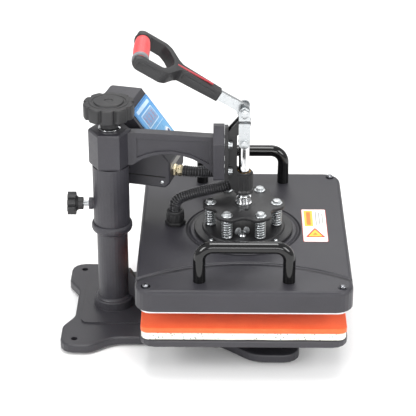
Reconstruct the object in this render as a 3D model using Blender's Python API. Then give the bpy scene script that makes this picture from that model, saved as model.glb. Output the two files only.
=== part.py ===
"""A swing-away heat press for flat goods, 300 x 380 mm.

Metres, +Z up, +X towards the machine's front. The origin is the centre of the
object's bounding box in plan, on the bench that it stands on. The press is
shown open, with its head raised over the mat.
"""

import math

import bmesh
import bpy
from mathutils import Matrix, Vector

# --- driving dimensions -------------------------------------------------------
REACH = 0.200                 # column axis to head centre
COVER_SIZE = (0.314, 0.392)   # sheet-metal head cover, X by Y
BASE_BACK = 0.075             # base edge behind the column axis
COLUMN_X = (BASE_BACK - REACH - COVER_SIZE[0] / 2) / 2
HEAD_X = COLUMN_X + REACH
GAP = 0.0003                  # clearance between touching pieces

FOOT_H = 0.004
BASE_TOP = 0.0165
PLATEAU_TOP = 0.019
COVER_TOP = 0.149             # top of the head cover, head raised

PLATEN_SIZE = (0.300, 0.380)
LOWER_PLATEN_Z = (0.0533, 0.0653)
FELT_Z = (0.0656, 0.0765)
MAT_Z = (0.0768, 0.0855)

POST_R = 0.0235
SLEEVE_R = 0.0275
SLEEVE_BORE_R = 0.0238
POST_TOP = 0.244
ARM_Z = (0.257, 0.316)        # hexagonal end of the arm
SCREW_R = 0.008
LOCK_Z = 0.191

ROD_R = 0.008
FULCRUM = (HEAD_X, 0.0, COVER_TOP + 0.179)
LINK_TOP = (HEAD_X, 0.0, COVER_TOP + 0.198)
LINK_LENGTH = 0.050
LINK_FOOT = (HEAD_X, 0.0, LINK_TOP[2] - LINK_LENGTH)
LEVER_TILT = math.radians(31.5)

PLATE_Z = (COVER_TOP + 0.039, COVER_TOP + 0.044)
SPRING_CIRCLE_R = 0.050
SPRING_COUNT = 6
DISC_TOP = COVER_TOP + 0.008

BOX_YAW = math.radians(-14)
BOX_CORNER = (HEAD_X - 0.110, 0.018)   # near front corner of the control box
BOX_WIDTH = 0.079
PANEL_TOP = (-0.064, COVER_TOP + 0.180)
PANEL_FOOT = (-0.010, COVER_TOP + 0.110)


# --- helpers ------------------------------------------------------------------
def clear_scene():
    for item in list(bpy.data.objects):
        bpy.data.objects.remove(item, do_unlink=True)


MATERIALS = {}


def material(name, colour, roughness, metallic=0.0):
    if name not in MATERIALS:
        made = bpy.data.materials.new(name)
        made.use_nodes = True
        shader = made.node_tree.nodes["Principled BSDF"]
        shader.inputs["Base Color"].default_value = (*colour, 1.0)
        shader.inputs["Roughness"].default_value = roughness
        shader.inputs["Metallic"].default_value = metallic
        made.diffuse_color = (*colour, 1.0)
        MATERIALS[name] = made
    return MATERIALS[name]


def dark_paint():
    return material("powder_coated_metal", (0.035, 0.035, 0.038), 0.45, 0.1)


def black_plastic():
    return material("black_plastic", (0.012, 0.012, 0.013), 0.5)


def zinc():
    return material("zinc_plated_steel", (0.72, 0.73, 0.74), 0.28, 1.0)


def chrome():
    return material("chromed_steel", (0.80, 0.80, 0.81), 0.10, 1.0)


def aluminium():
    return material("bare_aluminium", (0.80, 0.81, 0.82), 0.35, 1.0)


def finish(name, bm, surface, location=(0, 0, 0), rotation=(0, 0, 0), smooth=True):
    """Turn a bmesh into a named, placed object."""
    bmesh.ops.remove_doubles(bm, verts=bm.verts, dist=1e-6)
    bmesh.ops.recalc_face_normals(bm, faces=bm.faces)
    mesh = bpy.data.meshes.new(name)
    bm.to_mesh(mesh)
    bm.free()
    made = bpy.data.objects.new(name, mesh)
    bpy.context.scene.collection.objects.link(made)
    made.location = location
    made.rotation_euler = rotation
    if surface is not None:
        mesh.materials.append(surface)
    if smooth:
        mesh.shade_smooth()
        mesh.set_sharp_from_angle(angle=math.radians(35))
    return made


def arc(centre, radius, start, end, steps):
    """Points on an arc, in degrees, both ends included."""
    points = []
    for i in range(steps + 1):
        turn = math.radians(start + (end - start) * i / steps)
        points.append((centre[0] + radius * math.cos(turn), centre[1] + radius * math.sin(turn)))
    return points


def rounded(corners, steps=5):
    """An outline from (x, y, radius) corners, each rounded by an arc."""
    points = []
    count = len(corners)
    for i, (x, y, radius) in enumerate(corners):
        here = Vector((x, y))
        if radius == 0:
            points.append((x, y))
            continue
        back = (Vector(corners[i - 1][:2]) - here).normalized()
        ahead = (Vector(corners[(i + 1) % count][:2]) - here).normalized()
        half = back.angle(ahead) / 2
        middle = here + (back + ahead).normalized() * radius / math.sin(half)
        first = here + back * radius / math.tan(half) - middle
        last = here + ahead * radius / math.tan(half) - middle
        sweep = first.angle_signed(last)
        for k in range(steps + 1):
            turned = first.copy()
            turned.rotate(Matrix.Rotation(-sweep * k / steps, 2))
            points.append(tuple(middle + turned))
    return points


def rounded_rectangle(size, radius, steps=5):
    x, y = size[0] / 2, size[1] / 2
    return rounded([(x, y, radius), (-x, y, radius), (-x, -y, radius), (x, -y, radius)], steps)


def prism(outline, along, start, end):
    """Extrude an outline along an axis: 'Z' takes (x, y), 'Y' (x, z), 'X' (y, z)."""
    place = {
        "Z": lambda a, b: (a, b, start),
        "Y": lambda a, b: (a, start, b),
        "X": lambda a, b: (start, a, b),
    }[along]
    push = {"Z": (0, 0, end - start), "Y": (0, end - start, 0), "X": (end - start, 0, 0)}[along]
    bm = bmesh.new()
    face = bm.faces.new([bm.verts.new(place(a, b)) for a, b in outline])
    grown = bmesh.ops.extrude_face_region(bm, geom=[face])
    moved = [item for item in grown["geom"] if isinstance(item, bmesh.types.BMVert)]
    bmesh.ops.translate(bm, verts=moved, vec=push)
    bmesh.ops.remove_doubles(bm, verts=bm.verts, dist=1e-6)
    bmesh.ops.recalc_face_normals(bm, faces=bm.faces)
    return bm


def bevel_flat_rims(bm, axis, width, segments=2, levels=None):
    """Bevel the edges that lie flat across an axis (all rims, or those at levels)."""
    edges = []
    for edge in bm.edges:
        a, b = (vert.co[axis] for vert in edge.verts)
        if abs(a - b) > 1e-6:
            continue
        if levels is None or any(abs(a - level) < 1e-6 for level in levels):
            edges.append(edge)
    bmesh.ops.bevel(bm, geom=edges, offset=width, segments=segments, profile=0.5,
                    affect="EDGES", material=-1, clamp_overlap=True)


def turned(profile, steps=32, ring=False):
    """Spin a profile of (radius, height) points about Z; a ring's profile closes."""
    bm = bmesh.new()
    verts = [bm.verts.new((radius, 0, height)) for radius, height in profile]
    edges = [bm.edges.new(pair) for pair in zip(verts, verts[1:])]
    if ring:
        edges.append(bm.edges.new((verts[-1], verts[0])))
    bmesh.ops.spin(bm, geom=verts + edges, cent=(0, 0, 0), axis=(0, 0, 1),
                   angle=math.tau, steps=steps, use_merge=True)
    bmesh.ops.remove_doubles(bm, verts=bm.verts, dist=1e-6)
    bmesh.ops.recalc_face_normals(bm, faces=bm.faces)
    return bm


def cylinder(radius, low, high, steps=24, chamfer=0.0):
    profile = [(0, low), (radius - chamfer, low), (radius, low + chamfer),
               (radius, high - chamfer), (radius - chamfer, high), (0, high)]
    return turned(profile, steps)


def tube(outer, inner, low, high, steps=32):
    return turned([(inner, low), (outer, low), (outer, high), (inner, high)], steps, ring=True)


def regular_outline(radius, sides, turn=0.0):
    return [(radius * math.cos(math.radians(turn) + math.tau * k / sides),
             radius * math.sin(math.radians(turn) + math.tau * k / sides))
            for k in range(sides)]


def cutter(bm, location=(0, 0, 0), rotation=(0, 0, 0)):
    tool = finish("cutter", bm, None, location, rotation, smooth=False)
    tool.hide_render = True
    tool.display_type = "WIRE"
    return tool


def combine(target, tool, operation):
    """Apply a Boolean at once and remove its tool."""
    change = target.modifiers.new(operation.lower(), "BOOLEAN")
    change.operation = operation
    change.solver = "EXACT"
    change.object = tool
    bpy.context.view_layer.update()
    graph = bpy.context.evaluated_depsgraph_get()
    result = bpy.data.meshes.new_from_object(target.evaluated_get(graph))
    target.modifiers.clear()
    bm = bmesh.new()
    bm.from_mesh(result)
    bmesh.ops.remove_doubles(bm, verts=bm.verts, dist=2e-6)
    bmesh.ops.dissolve_degenerate(bm, edges=bm.edges, dist=2e-6)
    bm.to_mesh(result)
    bm.free()
    old = target.data
    target.data = result
    bpy.data.meshes.remove(old)
    bpy.data.objects.remove(tool, do_unlink=True)


def cut(target, bm, location=(0, 0, 0), rotation=(0, 0, 0)):
    combine(target, cutter(bm, location, rotation), "DIFFERENCE")


def join(target, bm, location=(0, 0, 0), rotation=(0, 0, 0)):
    combine(target, cutter(bm, location, rotation), "UNION")


def reshade(made, degrees=35):
    made.data.shade_smooth()
    made.data.set_sharp_from_angle(angle=math.radians(degrees))


TO_X = (0, math.pi / 2, 0)    # turns a +Z shape to point along +X
TO_Y = (-math.pi / 2, 0, 0)   # turns a +Z shape to point along +Y


# --- base ---------------------------------------------------------------------
REAR_HOLE = (COLUMN_X - 0.054, 0.107)
FRONT_HOLE = (COLUMN_X + 0.262, 0.128)


def base_outline():
    x = COLUMN_X
    half = [(x - 0.058, 0.040, 0.030), (x - 0.075, 0.070, 0.020), (x - 0.075, 0.127, 0.021),
            (x - 0.030, 0.127, 0.025), (x + 0.005, 0.102, 0.040), (x + 0.160, 0.102, 0.060),
            (x + 0.215, 0.151, 0.045), (x + 0.284, 0.151, 0.024), (x + 0.284, 0.105, 0.018),
            (x + 0.262, 0.075, 0.030)]
    mirrored = [(px, -py, r) for px, py, r in reversed(half)]
    return rounded(half + mirrored, 4)


def build_base():
    bm = prism(base_outline(), "Z", FOOT_H, BASE_TOP)
    bevel_flat_rims(bm, 2, 0.0025, 2, [BASE_TOP])
    base = finish("base_plate", bm, dark_paint())
    rib = rounded_rectangle((0.300, 0.126), 0.012, 3)
    rib = [(px + COLUMN_X + 0.102, py) for px, py in rib]
    join(base, prism(rib, "Z", BASE_TOP - 0.004, PLATEAU_TOP))
    join(base, cylinder(0.031, BASE_TOP - 0.003, 0.033, 32, 0.0015), (COLUMN_X, 0, 0))
    x = COLUMN_X
    web = [(x + 0.010, 0.018), (x + 0.045, 0.018), (x + 0.045, 0.048), (x + 0.026, 0.076),
           (x + 0.010, 0.076)]
    join(base, prism(web, "Y", -0.006, 0.006))
    cut(base, cylinder(POST_R + GAP, PLATEAU_TOP, 0.1, 32), (COLUMN_X, 0, 0))
    for sx, sy in (REAR_HOLE, FRONT_HOLE):
        for side in (1, -1):
            cut(base, cylinder(0.005, 0.0, 0.03, 12), (sx, sy * side, 0))
    reshade(base)
    spots = [(COLUMN_X - 0.050, 0.082), (COLUMN_X + 0.255, 0.105)]
    number = 0
    for sx, sy in spots:
        for side in (-1, 1):
            number += 1
            profile = [(0, 0), (0.010, 0), (0.012, 0.0015), (0.0125, FOOT_H - GAP),
                       (0, FOOT_H - GAP)]
            finish(f"rubber_foot_{number}", turned(profile, 16),
                   material("black_rubber", (0.015, 0.015, 0.015), 0.8), (sx, sy * side, 0))


def build_post():
    low = PLATEAU_TOP + GAP
    post = finish("post", tube(POST_R, 0.020, low, POST_TOP, 32), dark_paint(), (COLUMN_X, 0, 0))
    profile = [(SCREW_R + GAP, POST_TOP - 0.012), (0.0197, POST_TOP - 0.012),
               (0.0197, POST_TOP + GAP), (0.0232, POST_TOP + GAP), (0.0232, POST_TOP + 0.0053),
               (SCREW_R + GAP, POST_TOP + 0.0053)]
    finish("lift_nut", turned(profile, 32, ring=True),
           material("bronze", (0.55, 0.38, 0.18), 0.35, 1.0), (COLUMN_X, 0, 0))
    return post


def build_bed():
    x0, x1 = HEAD_X - 0.090, HEAD_X + 0.090
    foot, head = PLATEAU_TOP + GAP, LOWER_PLATEN_Z[0] - GAP
    bridge = [(x0 + 0.02, foot), (x1 - 0.02, foot), (x1 - 0.02, foot + 0.006), (x1, head - 0.006),
              (x1, head), (x0, head), (x0, head - 0.006), (x0 + 0.02, foot + 0.006)]
    support = finish("platen_support", prism(bridge, "Y", -0.060, 0.060), dark_paint())
    inside = [(x0 + 0.027, foot + 0.006), (x1 - 0.027, foot + 0.006), (x1 - 0.009, head - 0.006),
              (x0 + 0.009, head - 0.006)]
    cut(support, prism(inside, "Y", -0.070, 0.070))
    reshade(support)
    layers = (("lower_platen", LOWER_PLATEN_Z, (0.3025, 0.382), 0.022, 0.003, dark_paint()),
              ("felt_pad", FELT_Z, (0.299, 0.379), 0.012, 0.0,
               material("felt", (0.76, 0.77, 0.66), 0.95)),
              ("silicone_mat", MAT_Z, PLATEN_SIZE, 0.010, 0.001,
               material("orange_silicone", (0.80, 0.13, 0.03), 0.55)))
    for name, (low, high), size, radius, bevel, surface in layers:
        bm = prism(rounded_rectangle(size, radius, 4), "Z", low, high)
        if bevel:
            bevel_flat_rims(bm, 2, bevel, 2)
        finish(name, bm, surface, (HEAD_X, 0, 0))


# --- column, arm and bracket --------------------------------------------------
def build_sleeve():
    low = 0.1513
    sleeve = finish("swivel_sleeve", tube(SLEEVE_R, SLEEVE_BORE_R, low, ARM_Z[0] - GAP, 32),
                    dark_paint(), (COLUMN_X, 0, 0))
    boss = cylinder(0.0085, SLEEVE_R - 0.003, 0.034, 16, 0.0008)
    join(sleeve, boss, (COLUMN_X, 0, LOCK_Z), (0, -math.pi / 2, 0))
    cut(sleeve, cylinder(0.0043, 0.010, 0.040, 12), (COLUMN_X, 0, LOCK_Z), (0, -math.pi / 2, 0))
    reshade(sleeve)
    bore = POST_R + 0.0005
    profile = [(bore, 0.1470), (0.0270, 0.1470), (0.0300, 0.1500), (0.0310, 0.1535),
               (0.0310, 0.1575), (0.0303, 0.1600), (0.0290, 0.1612), (0.0278, 0.1612),
               (0.0278, low - GAP), (bore, low - GAP)]
    finish("sleeve_collar", turned(profile, 32, ring=True), dark_paint(), (COLUMN_X, 0, 0))


def arm_web_outline():
    """Side view of the arm from the hexagon to the flange, in (x, z)."""
    x, z = HEAD_X, COVER_TOP
    top = [(x - 0.180, z + 0.163), (x - 0.146, z + 0.162), (x - 0.036, z + 0.155)]
    foot = [(x - 0.036, z + 0.086), (x - 0.044, z + 0.088)]
    arch = []
    for i in range(9):
        share = i / 8
        px = x - 0.048 - share * 0.119
        sag = math.sin(math.pi * share) ** 0.7
        arch.append((px, z + 0.098 + 0.012 * share + sag * (0.026 - 0.004 * share)))
    return top + foot + arch + [(x - 0.180, z + 0.110)]


def build_arm():
    bm = prism(regular_outline(0.0320, 6), "Z", *ARM_Z)
    bevel_flat_rims(bm, 2, 0.004, 2)
    arm = finish("arm_casting", bm, dark_paint(), (COLUMN_X, 0, 0))
    web = prism(arm_web_outline(), "Y", -0.008, 0.008)
    join(arm, web)
    flange = rounded([(-0.020, COVER_TOP + 0.090, 0.003), (0.020, COVER_TOP + 0.090, 0.003),
                      (0.020, COVER_TOP + 0.149, 0.003), (0.007, COVER_TOP + 0.173, 0.004),
                      (-0.007, COVER_TOP + 0.173, 0.004), (-0.020, COVER_TOP + 0.149, 0.003)], 2)
    join(arm, prism(flange, "X", HEAD_X - 0.046, HEAD_X - 0.0293))
    inset = [(HEAD_X - 0.160, COVER_TOP + 0.154), (HEAD_X - 0.052, COVER_TOP + 0.148),
             (HEAD_X - 0.052, COVER_TOP + 0.112), (HEAD_X - 0.062, COVER_TOP + 0.1175),
             (HEAD_X - 0.080, COVER_TOP + 0.1270), (HEAD_X - 0.107, COVER_TOP + 0.1330),
             (HEAD_X - 0.130, COVER_TOP + 0.1320), (HEAD_X - 0.148, COVER_TOP + 0.1270),
             (HEAD_X - 0.160, COVER_TOP + 0.1220)]
    for side in (1, -1):
        cut(arm, prism(inset, "Y", side * 0.0055, side * 0.012))
    cut(arm, cylinder(SCREW_R + GAP, ARM_Z[0] - 0.01, ARM_Z[1] + 0.01, 20), (COLUMN_X, 0, 0))
    for y in (-0.0150, 0.0150):
        for z in (0.104, 0.147):
            cut(arm, cylinder(0.0033, -0.012, 0.004, 10),
                (HEAD_X - 0.029, y, COVER_TOP + z), TO_X)
    reshade(arm)


BUSH_Z = (COVER_TOP + 0.064, COVER_TOP + 0.097)


def build_bracket():
    z = COVER_TOP
    back = rounded([(-0.020, z + 0.088, 0.003), (0.020, z + 0.088, 0.003),
                    (0.020, z + 0.149, 0.003), (0.007, z + 0.171, 0.004),
                    (-0.007, z + 0.171, 0.004), (-0.020, z + 0.149, 0.003)], 2)
    bracket = finish("toggle_bracket", prism(back, "X", HEAD_X - 0.029, HEAD_X - 0.0235),
                     black_plastic())
    x = HEAD_X
    ear_r = 0.0095
    ear = arc((x, FULCRUM[2]), ear_r, 128, -60, 9)
    cheek = [(x - 0.025, z + 0.164)] + ear + [
        (x - 0.0105, z + 0.160), (x - 0.0105, z + 0.102), (x - 0.006, z + 0.098),
        (x - 0.006, z + 0.064), (x - 0.012, z + 0.066), (x - 0.021, z + 0.082),
        (x - 0.025, z + 0.092)]
    for side in (1, -1):
        join(bracket, prism(cheek, "Y", side * 0.0060, side * 0.0100))
    join(bracket, cylinder(0.0125, BUSH_Z[0] - 0.001, BUSH_Z[1] + 0.001, 24, 0.0012),
         (HEAD_X, 0, 0))
    bridge = [(x - 0.0252, z + 0.066), (x - 0.0085, z + 0.066), (x - 0.0085, z + 0.096),
              (x - 0.0252, z + 0.096)]
    join(bracket, prism([(bridge[0][0] + 0.006, bridge[0][1] + 0.004)] + bridge[1:], "Y",
                        -0.0065, 0.0065))
    cut(bracket, cylinder(0.0105, 0.190, 0.260, 20), (HEAD_X, 0, 0))
    cut(bracket, cylinder(0.0043, -0.03, 0.03, 12), FULCRUM, TO_Y)
    for y in (-0.0150, 0.0150):
        for bolt_z in (0.104, 0.147):
            cut(bracket, cylinder(0.0033, -0.012, 0.012, 10),
                (HEAD_X - 0.027, y, COVER_TOP + bolt_z), TO_X)
    reshade(bracket)
    finish("rod_bush", tube(0.0102, ROD_R + GAP, *BUSH_Z, 20),
           material("bronze", (0.55, 0.38, 0.18), 0.35, 1.0), (HEAD_X, 0, 0))
    finish("fulcrum_pin", cylinder(0.0040, -0.0103, 0.0103, 12), zinc(), FULCRUM, TO_Y)


# --- hand screws --------------------------------------------------------------
def lobed_outline(radius, depth, lobes, steps=6):
    """Flat lobes with narrow grooves between them, as on a star knob."""
    points = []
    for k in range(lobes * steps):
        turn = math.tau * k / (lobes * steps)
        groove = max(0.0, math.cos(turn * lobes)) ** 4
        reach = radius - depth * groove
        points.append((reach * math.cos(turn), reach * math.sin(turn)))
    return points


def build_pressure_knob():
    z = COVER_TOP
    bm = prism(lobed_outline(0.038, 0.0040, 10), "Z", z + 0.187, z + 0.209)
    bevel_flat_rims(bm, 2, 0.0015, 1)
    knob = finish("pressure_knob", bm, black_plastic(), (COLUMN_X, 0, 0))
    join(knob, cylinder(0.022, z + 0.207, z + 0.2110, 32, 0.001), (COLUMN_X, 0, 0))
    join(knob, cylinder(0.0135, z + 0.1696, z + 0.190, 24, 0.001), (COLUMN_X, 0, 0))
    cut(knob, cylinder(SCREW_R + GAP, z + 0.160, z + 0.2000, 16), (COLUMN_X, 0, 0))
    reshade(knob)
    profile = [(0, 0.205), (SCREW_R - 0.0015, 0.205), (SCREW_R, 0.2065),
               (SCREW_R, z + 0.1673), (0.0145, z + 0.1673), (0.0145, z + 0.1693),
               (SCREW_R, z + 0.1693), (SCREW_R, z + 0.1997), (0, z + 0.1997)]
    finish("pressure_screw", turned(profile, 16), zinc(), (COLUMN_X, 0, 0))


def build_lock_knob():
    """Star knob and its screw, which turn together about X."""
    bm = prism(lobed_outline(0.0175, 0.0022, 8, 4), "Z", 0.053, 0.066)
    bevel_flat_rims(bm, 2, 0.001, 1)
    knob = finish("lock_knob", bm, black_plastic(), (COLUMN_X, 0, LOCK_Z), (0, -math.pi / 2, 0))
    join(knob, cylinder(0.0100, 0.0425, 0.056, 16, 0.001), (COLUMN_X, 0, LOCK_Z),
         (0, -math.pi / 2, 0))
    cut(knob, cylinder(0.0043, 0.030, 0.055, 12), (COLUMN_X, 0, LOCK_Z), (0, -math.pi / 2, 0))
    reshade(knob)
    finish("lock_screw", cylinder(0.0040, POST_R + 0.0004, 0.0547, 12, 0.0006), zinc(),
           (COLUMN_X, 0, LOCK_Z), (0, -math.pi / 2, 0))


# --- lever and links ----------------------------------------------------------
def lever_turn(points):
    """Points given along the lever (distance back, height) in world (x, z)."""
    c, s = math.cos(LEVER_TILT), math.sin(LEVER_TILT)
    return [(LINK_TOP[0] - along * c + up * s, LINK_TOP[2] + along * s + up * c)
            for along, up in points]


def build_lever():
    eye = 0.0080
    outline = arc((FULCRUM[0], FULCRUM[2]), eye, -170, 10, 8)
    outline += [(LINK_TOP[0] + 0.0080, LINK_TOP[2])]
    outline += arc((LINK_TOP[0], LINK_TOP[2]), 0.0080, 20, 60, 2)
    outline += lever_turn([(0.0625, 0.0070), (0.0625, -0.0070), (0.012, -0.0070)])
    outline += [(FULCRUM[0] - 0.0080, FULCRUM[2] + 0.008)]
    bar = finish("lever_bar", prism(outline, "Y", -0.0040, 0.0040), zinc())
    cut(bar, cylinder(0.0043, -0.02, 0.02, 12), FULCRUM, TO_Y)
    cut(bar, cylinder(0.0043, -0.02, 0.02, 12), LINK_TOP, TO_Y)
    reshade(bar)
    pin = [(0, -0.0215), (0.0065, -0.0215), (0.0065, -0.0171), (0.0040, -0.0171),
           (0.0040, 0.0171), (0.0065, 0.0171), (0.0065, 0.0215), (0, 0.0215)]
    finish("link_bolt", turned(pin, 12), zinc(), LINK_TOP, TO_Y)


GRIP_S = 0.176
GRIP_R = 0.0105


def build_handle():
    """Stem and fork in one moulding, drawn along the lever and then tilted."""
    tilt = (0, LEVER_TILT, 0)
    plan = [(0.044, 0.0100), (0.111, 0.0105), (0.118, 0.020), (0.131, 0.047),
            (0.140, 0.0545), (0.176, 0.0550), (0.1855, 0.0520), (0.1855, 0.0445),
            (0.176, 0.0430), (0.143, 0.0420), (0.134, 0.030), (0.126, 0.008)]
    outline = [(-s, y) for s, y in plan] + [(-s, -y) for s, y in reversed(plan)]
    bm = prism(outline, "Z", -0.0095, 0.0095)
    bevel_flat_rims(bm, 2, 0.0016, 1)
    for vert in bm.verts:
        if vert.co.x > -0.060:
            vert.co.z *= 0.80
    handle = finish("lever_handle", bm, black_plastic(), LINK_TOP, tilt)
    slot = prism([(-0.0628, -0.0073), (-0.030, -0.0073), (-0.030, 0.0073), (-0.0628, 0.0073)],
                 "Y", -0.0043, 0.0043)
    cut(handle, slot, LINK_TOP, tilt)
    reshade(handle)
    red = [(0, -0.0417), (GRIP_R - 0.002, -0.0417), (GRIP_R, -0.036), (GRIP_R + 0.0015, 0),
           (GRIP_R, 0.036), (GRIP_R - 0.002, 0.0417), (0, 0.0417)]
    grip = turned(red, 20)
    bmesh.ops.rotate(grip, verts=grip.verts, cent=(0, 0, 0), matrix=Matrix.Rotation(math.pi / 2, 3, "X"))
    bmesh.ops.translate(grip, verts=grip.verts, vec=(-GRIP_S, 0, 0))
    finish("red_grip", grip, material("red_rubber", (0.72, 0.04, 0.05), 0.5), LINK_TOP, tilt)


def build_links():
    """Two flat straps, joggled so that they stand wider apart at the top.

    The heads of the rod's bolt are part of the straps; its shank stays in the rod.
    """
    for name, side in (("link_near", -1), ("link_far", 1)):
        top, foot = LINK_TOP[2], LINK_FOOT[2]
        outline = arc((HEAD_X, top), 0.0085, 0, 180, 8) + arc((HEAD_X, foot), 0.0085, 180, 360, 8)
        bm = prism(outline, "Y", side * 0.0106, side * 0.0136)
        for level in (top - 0.012, top - 0.018):
            bmesh.ops.bisect_plane(bm, geom=bm.verts[:] + bm.edges[:] + bm.faces[:], dist=1e-6,
                                   plane_co=(0, 0, level), plane_no=(0, 0, 1))
        for vert in bm.verts:
            if vert.co.z > top - 0.0121:
                vert.co.y += side * 0.0030
        strap = finish(name, bm, zinc())
        cut(strap, cylinder(0.0043, -0.03, 0.03, 12), LINK_TOP, TO_Y)
        low, high = sorted((side * 0.0130, side * 0.0170))
        join(strap, cylinder(0.0060, low, high, 16, 0.0006), LINK_FOOT, TO_Y)
        reshade(strap, 25)


# --- head ---------------------------------------------------------------------
def build_rod():
    z = COVER_TOP
    profile = [(0, z + 0.0345), (0.0065, z + 0.0345), (0.0065, z + 0.0443), (ROD_R, z + 0.0443),
               (ROD_R, z + 0.1430), (0, z + 0.1430)]
    rod = finish("press_rod", turned(profile, 20), chrome(), (HEAD_X, 0, 0))
    eye = prism(arc((HEAD_X, LINK_FOOT[2]), 0.0090, -90, 270, 20)[:-1], "Y", -0.0100, 0.0100)
    join(rod, eye)
    cut(rod, cylinder(0.0043, -0.03, 0.03, 12), LINK_FOOT, TO_Y)
    reshade(rod)
    finish("rod_pin", cylinder(0.0040, -0.0102, 0.0102, 12), zinc(), LINK_FOOT, TO_Y)
    nut = [(ROD_R + GAP, z + 0.0446), (0.0118, z + 0.0446), (0.0118, z + 0.0465),
           (0.0100, z + 0.0475), (0.0100, z + 0.0530), (0.0115, z + 0.0540),
           (0.0115, z + 0.0565), (ROD_R + GAP, z + 0.0565)]
    finish("rod_collar", turned(nut, 20, ring=True), chrome(), (HEAD_X, 0, 0))


def spring_spots():
    return [(HEAD_X + SPRING_CIRCLE_R * math.cos(math.tau * k / SPRING_COUNT),
             SPRING_CIRCLE_R * math.sin(math.tau * k / SPRING_COUNT)) for k in range(SPRING_COUNT)]


def build_suspension():
    outline = []
    for k in range(72):
        turn = math.tau * k / 72
        reach = 0.0565 + 0.0055 * math.cos(SPRING_COUNT * turn)
        outline.append((reach * math.cos(turn), reach * math.sin(turn)))
    bm = prism(outline, "Z", *PLATE_Z)
    plate = finish("pressure_plate", bm, dark_paint(), (HEAD_X, 0, 0))
    cut(plate, cylinder(0.0068, 0.15, 0.25, 16), (HEAD_X, 0, 0))
    low = COVER_TOP + GAP
    profile = [(0, low), (0.075, low), (0.075, COVER_TOP + 0.0040), (0.074, COVER_TOP + 0.005),
               (0.063, COVER_TOP + 0.005), (0.062, DISC_TOP - 0.0005), (0.0615, DISC_TOP),
               (0, DISC_TOP)]
    disc = finish("mounting_disc", turned(profile, 48), dark_paint(), (HEAD_X, 0, 0))
    for number, (x, y) in enumerate(spring_spots(), 1):
        cut(plate, cylinder(0.0045, 0.15, 0.25, 12), (x, y, 0))
        cut(disc, cylinder(0.0043, COVER_TOP + 0.0015, 0.2, 12), (x, y, 0))
        seat = DISC_TOP + GAP
        finish(f"spring_{number}", tube(0.0080, 0.0062, seat, PLATE_Z[0] - GAP, 16), zinc(),
               (x, y, 0))
        top = PLATE_Z[1] + GAP
        bolt = prism(regular_outline(0.0075, 6, 15), "Z", top, top + 0.0048)
        bevel_flat_rims(bolt, 2, 0.0006, 1, [top + 0.0048])
        made = finish(f"spring_bolt_{number}", bolt, zinc(), (x, y, 0))
        join(made, cylinder(0.0040, COVER_TOP + 0.0020, top + 0.002, 12), (x, y, 0))
        reshade(made)
    reshade(plate)
    reshade(disc)


def build_head():
    half_face = 0.033
    bm = prism(rounded_rectangle(COVER_SIZE, 0.026, 6), "Z", COVER_TOP - half_face, COVER_TOP)
    bevel_flat_rims(bm, 2, 0.006, 3, [COVER_TOP])
    cover = finish("head_cover", bm, dark_paint(), (HEAD_X, 0, 0))
    inner = (COVER_SIZE[0] - 0.004, COVER_SIZE[1] - 0.004)
    hollow = prism(rounded_rectangle(inner, 0.024, 6), "Z", COVER_TOP - 0.05, COVER_TOP - 0.0025)
    bevel_flat_rims(hollow, 2, 0.005, 3, [COVER_TOP - 0.0025])
    cut(cover, hollow, (HEAD_X, 0, 0))
    reshade(cover)
    low = COVER_TOP - 0.0385
    bm = prism(rounded_rectangle(PLATEN_SIZE, 0.015, 4), "Z", low, low + 0.0145)
    finish("heating_platen", bm, aluminium(), (HEAD_X, 0, 0))
    bm = prism(rounded_rectangle((0.296, 0.376), 0.015, 3), "Z", low + 0.0148, COVER_TOP - 0.012)
    finish("insulation_board", bm, material("mineral_board", (0.75, 0.72, 0.62), 0.9),
           (HEAD_X, 0, 0))


HANDLE_Y = 0.163
HANDLE_R = 0.009


def smooth_curve(name, points, radius, surface, sides=2):
    """A capped round tube along points."""
    data = bpy.data.curves.new(name, "CURVE")
    data.dimensions = "3D"
    data.bevel_depth = radius
    data.bevel_resolution = sides
    data.use_fill_caps = True
    spline = data.splines.new("POLY")
    spline.points.add(len(points) - 1)
    for slot, point in zip(spline.points, points):
        slot.co = (*point, 1.0)
    data.materials.append(surface)
    made = bpy.data.objects.new(name, data)
    bpy.context.scene.collection.objects.link(made)
    return made


def build_handles():
    foot, bar, reach, bend = COVER_TOP + GAP, COVER_TOP + 0.055, 0.0645, 0.020
    for name, side in (("handle_near", -1), ("handle_far", 1)):
        path = [(-reach, foot)] + arc((-reach + bend, bar - bend), bend, 180, 90, 5)
        path += arc((reach - bend, bar - bend), bend, 90, 0, 5) + [(reach, foot)]
        points = [(HEAD_X + x, side * HANDLE_Y, z) for x, z in path]
        smooth_curve(name, points, HANDLE_R, black_plastic(), 3)


# --- control box --------------------------------------------------------------
def box_point(along, across, z):
    """Control box coordinates (along from its front, across from its near side)."""
    c, s = math.cos(BOX_YAW), math.sin(BOX_YAW)
    return (BOX_CORNER[0] + along * c - across * s, BOX_CORNER[1] + along * s + across * c, z)


PANEL_DIR = Vector((PANEL_FOOT[0] - PANEL_TOP[0], 0, PANEL_FOOT[1] - PANEL_TOP[1])).normalized()
PANEL_OUT = Vector((-PANEL_DIR.z, 0, PANEL_DIR.x))
PANEL_LENGTH = math.hypot(PANEL_FOOT[0] - PANEL_TOP[0], PANEL_FOOT[1] - PANEL_TOP[1])
PANEL_ANGLE = math.atan2(PANEL_OUT.x, PANEL_OUT.z)
BUTTONS = (("button_set", 0.020), ("button_up", 0.0395), ("button_down", 0.059))
BUTTON_ALONG = PANEL_LENGTH - 0.020


def panel_place(down, across, out):
    """A place on the slanted panel: down from its top edge, across, and proud of it."""
    spot = Vector((PANEL_TOP[0], 0, PANEL_TOP[1])) + PANEL_DIR * down + PANEL_OUT * out
    return box_point(spot.x, across, spot.z)


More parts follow.
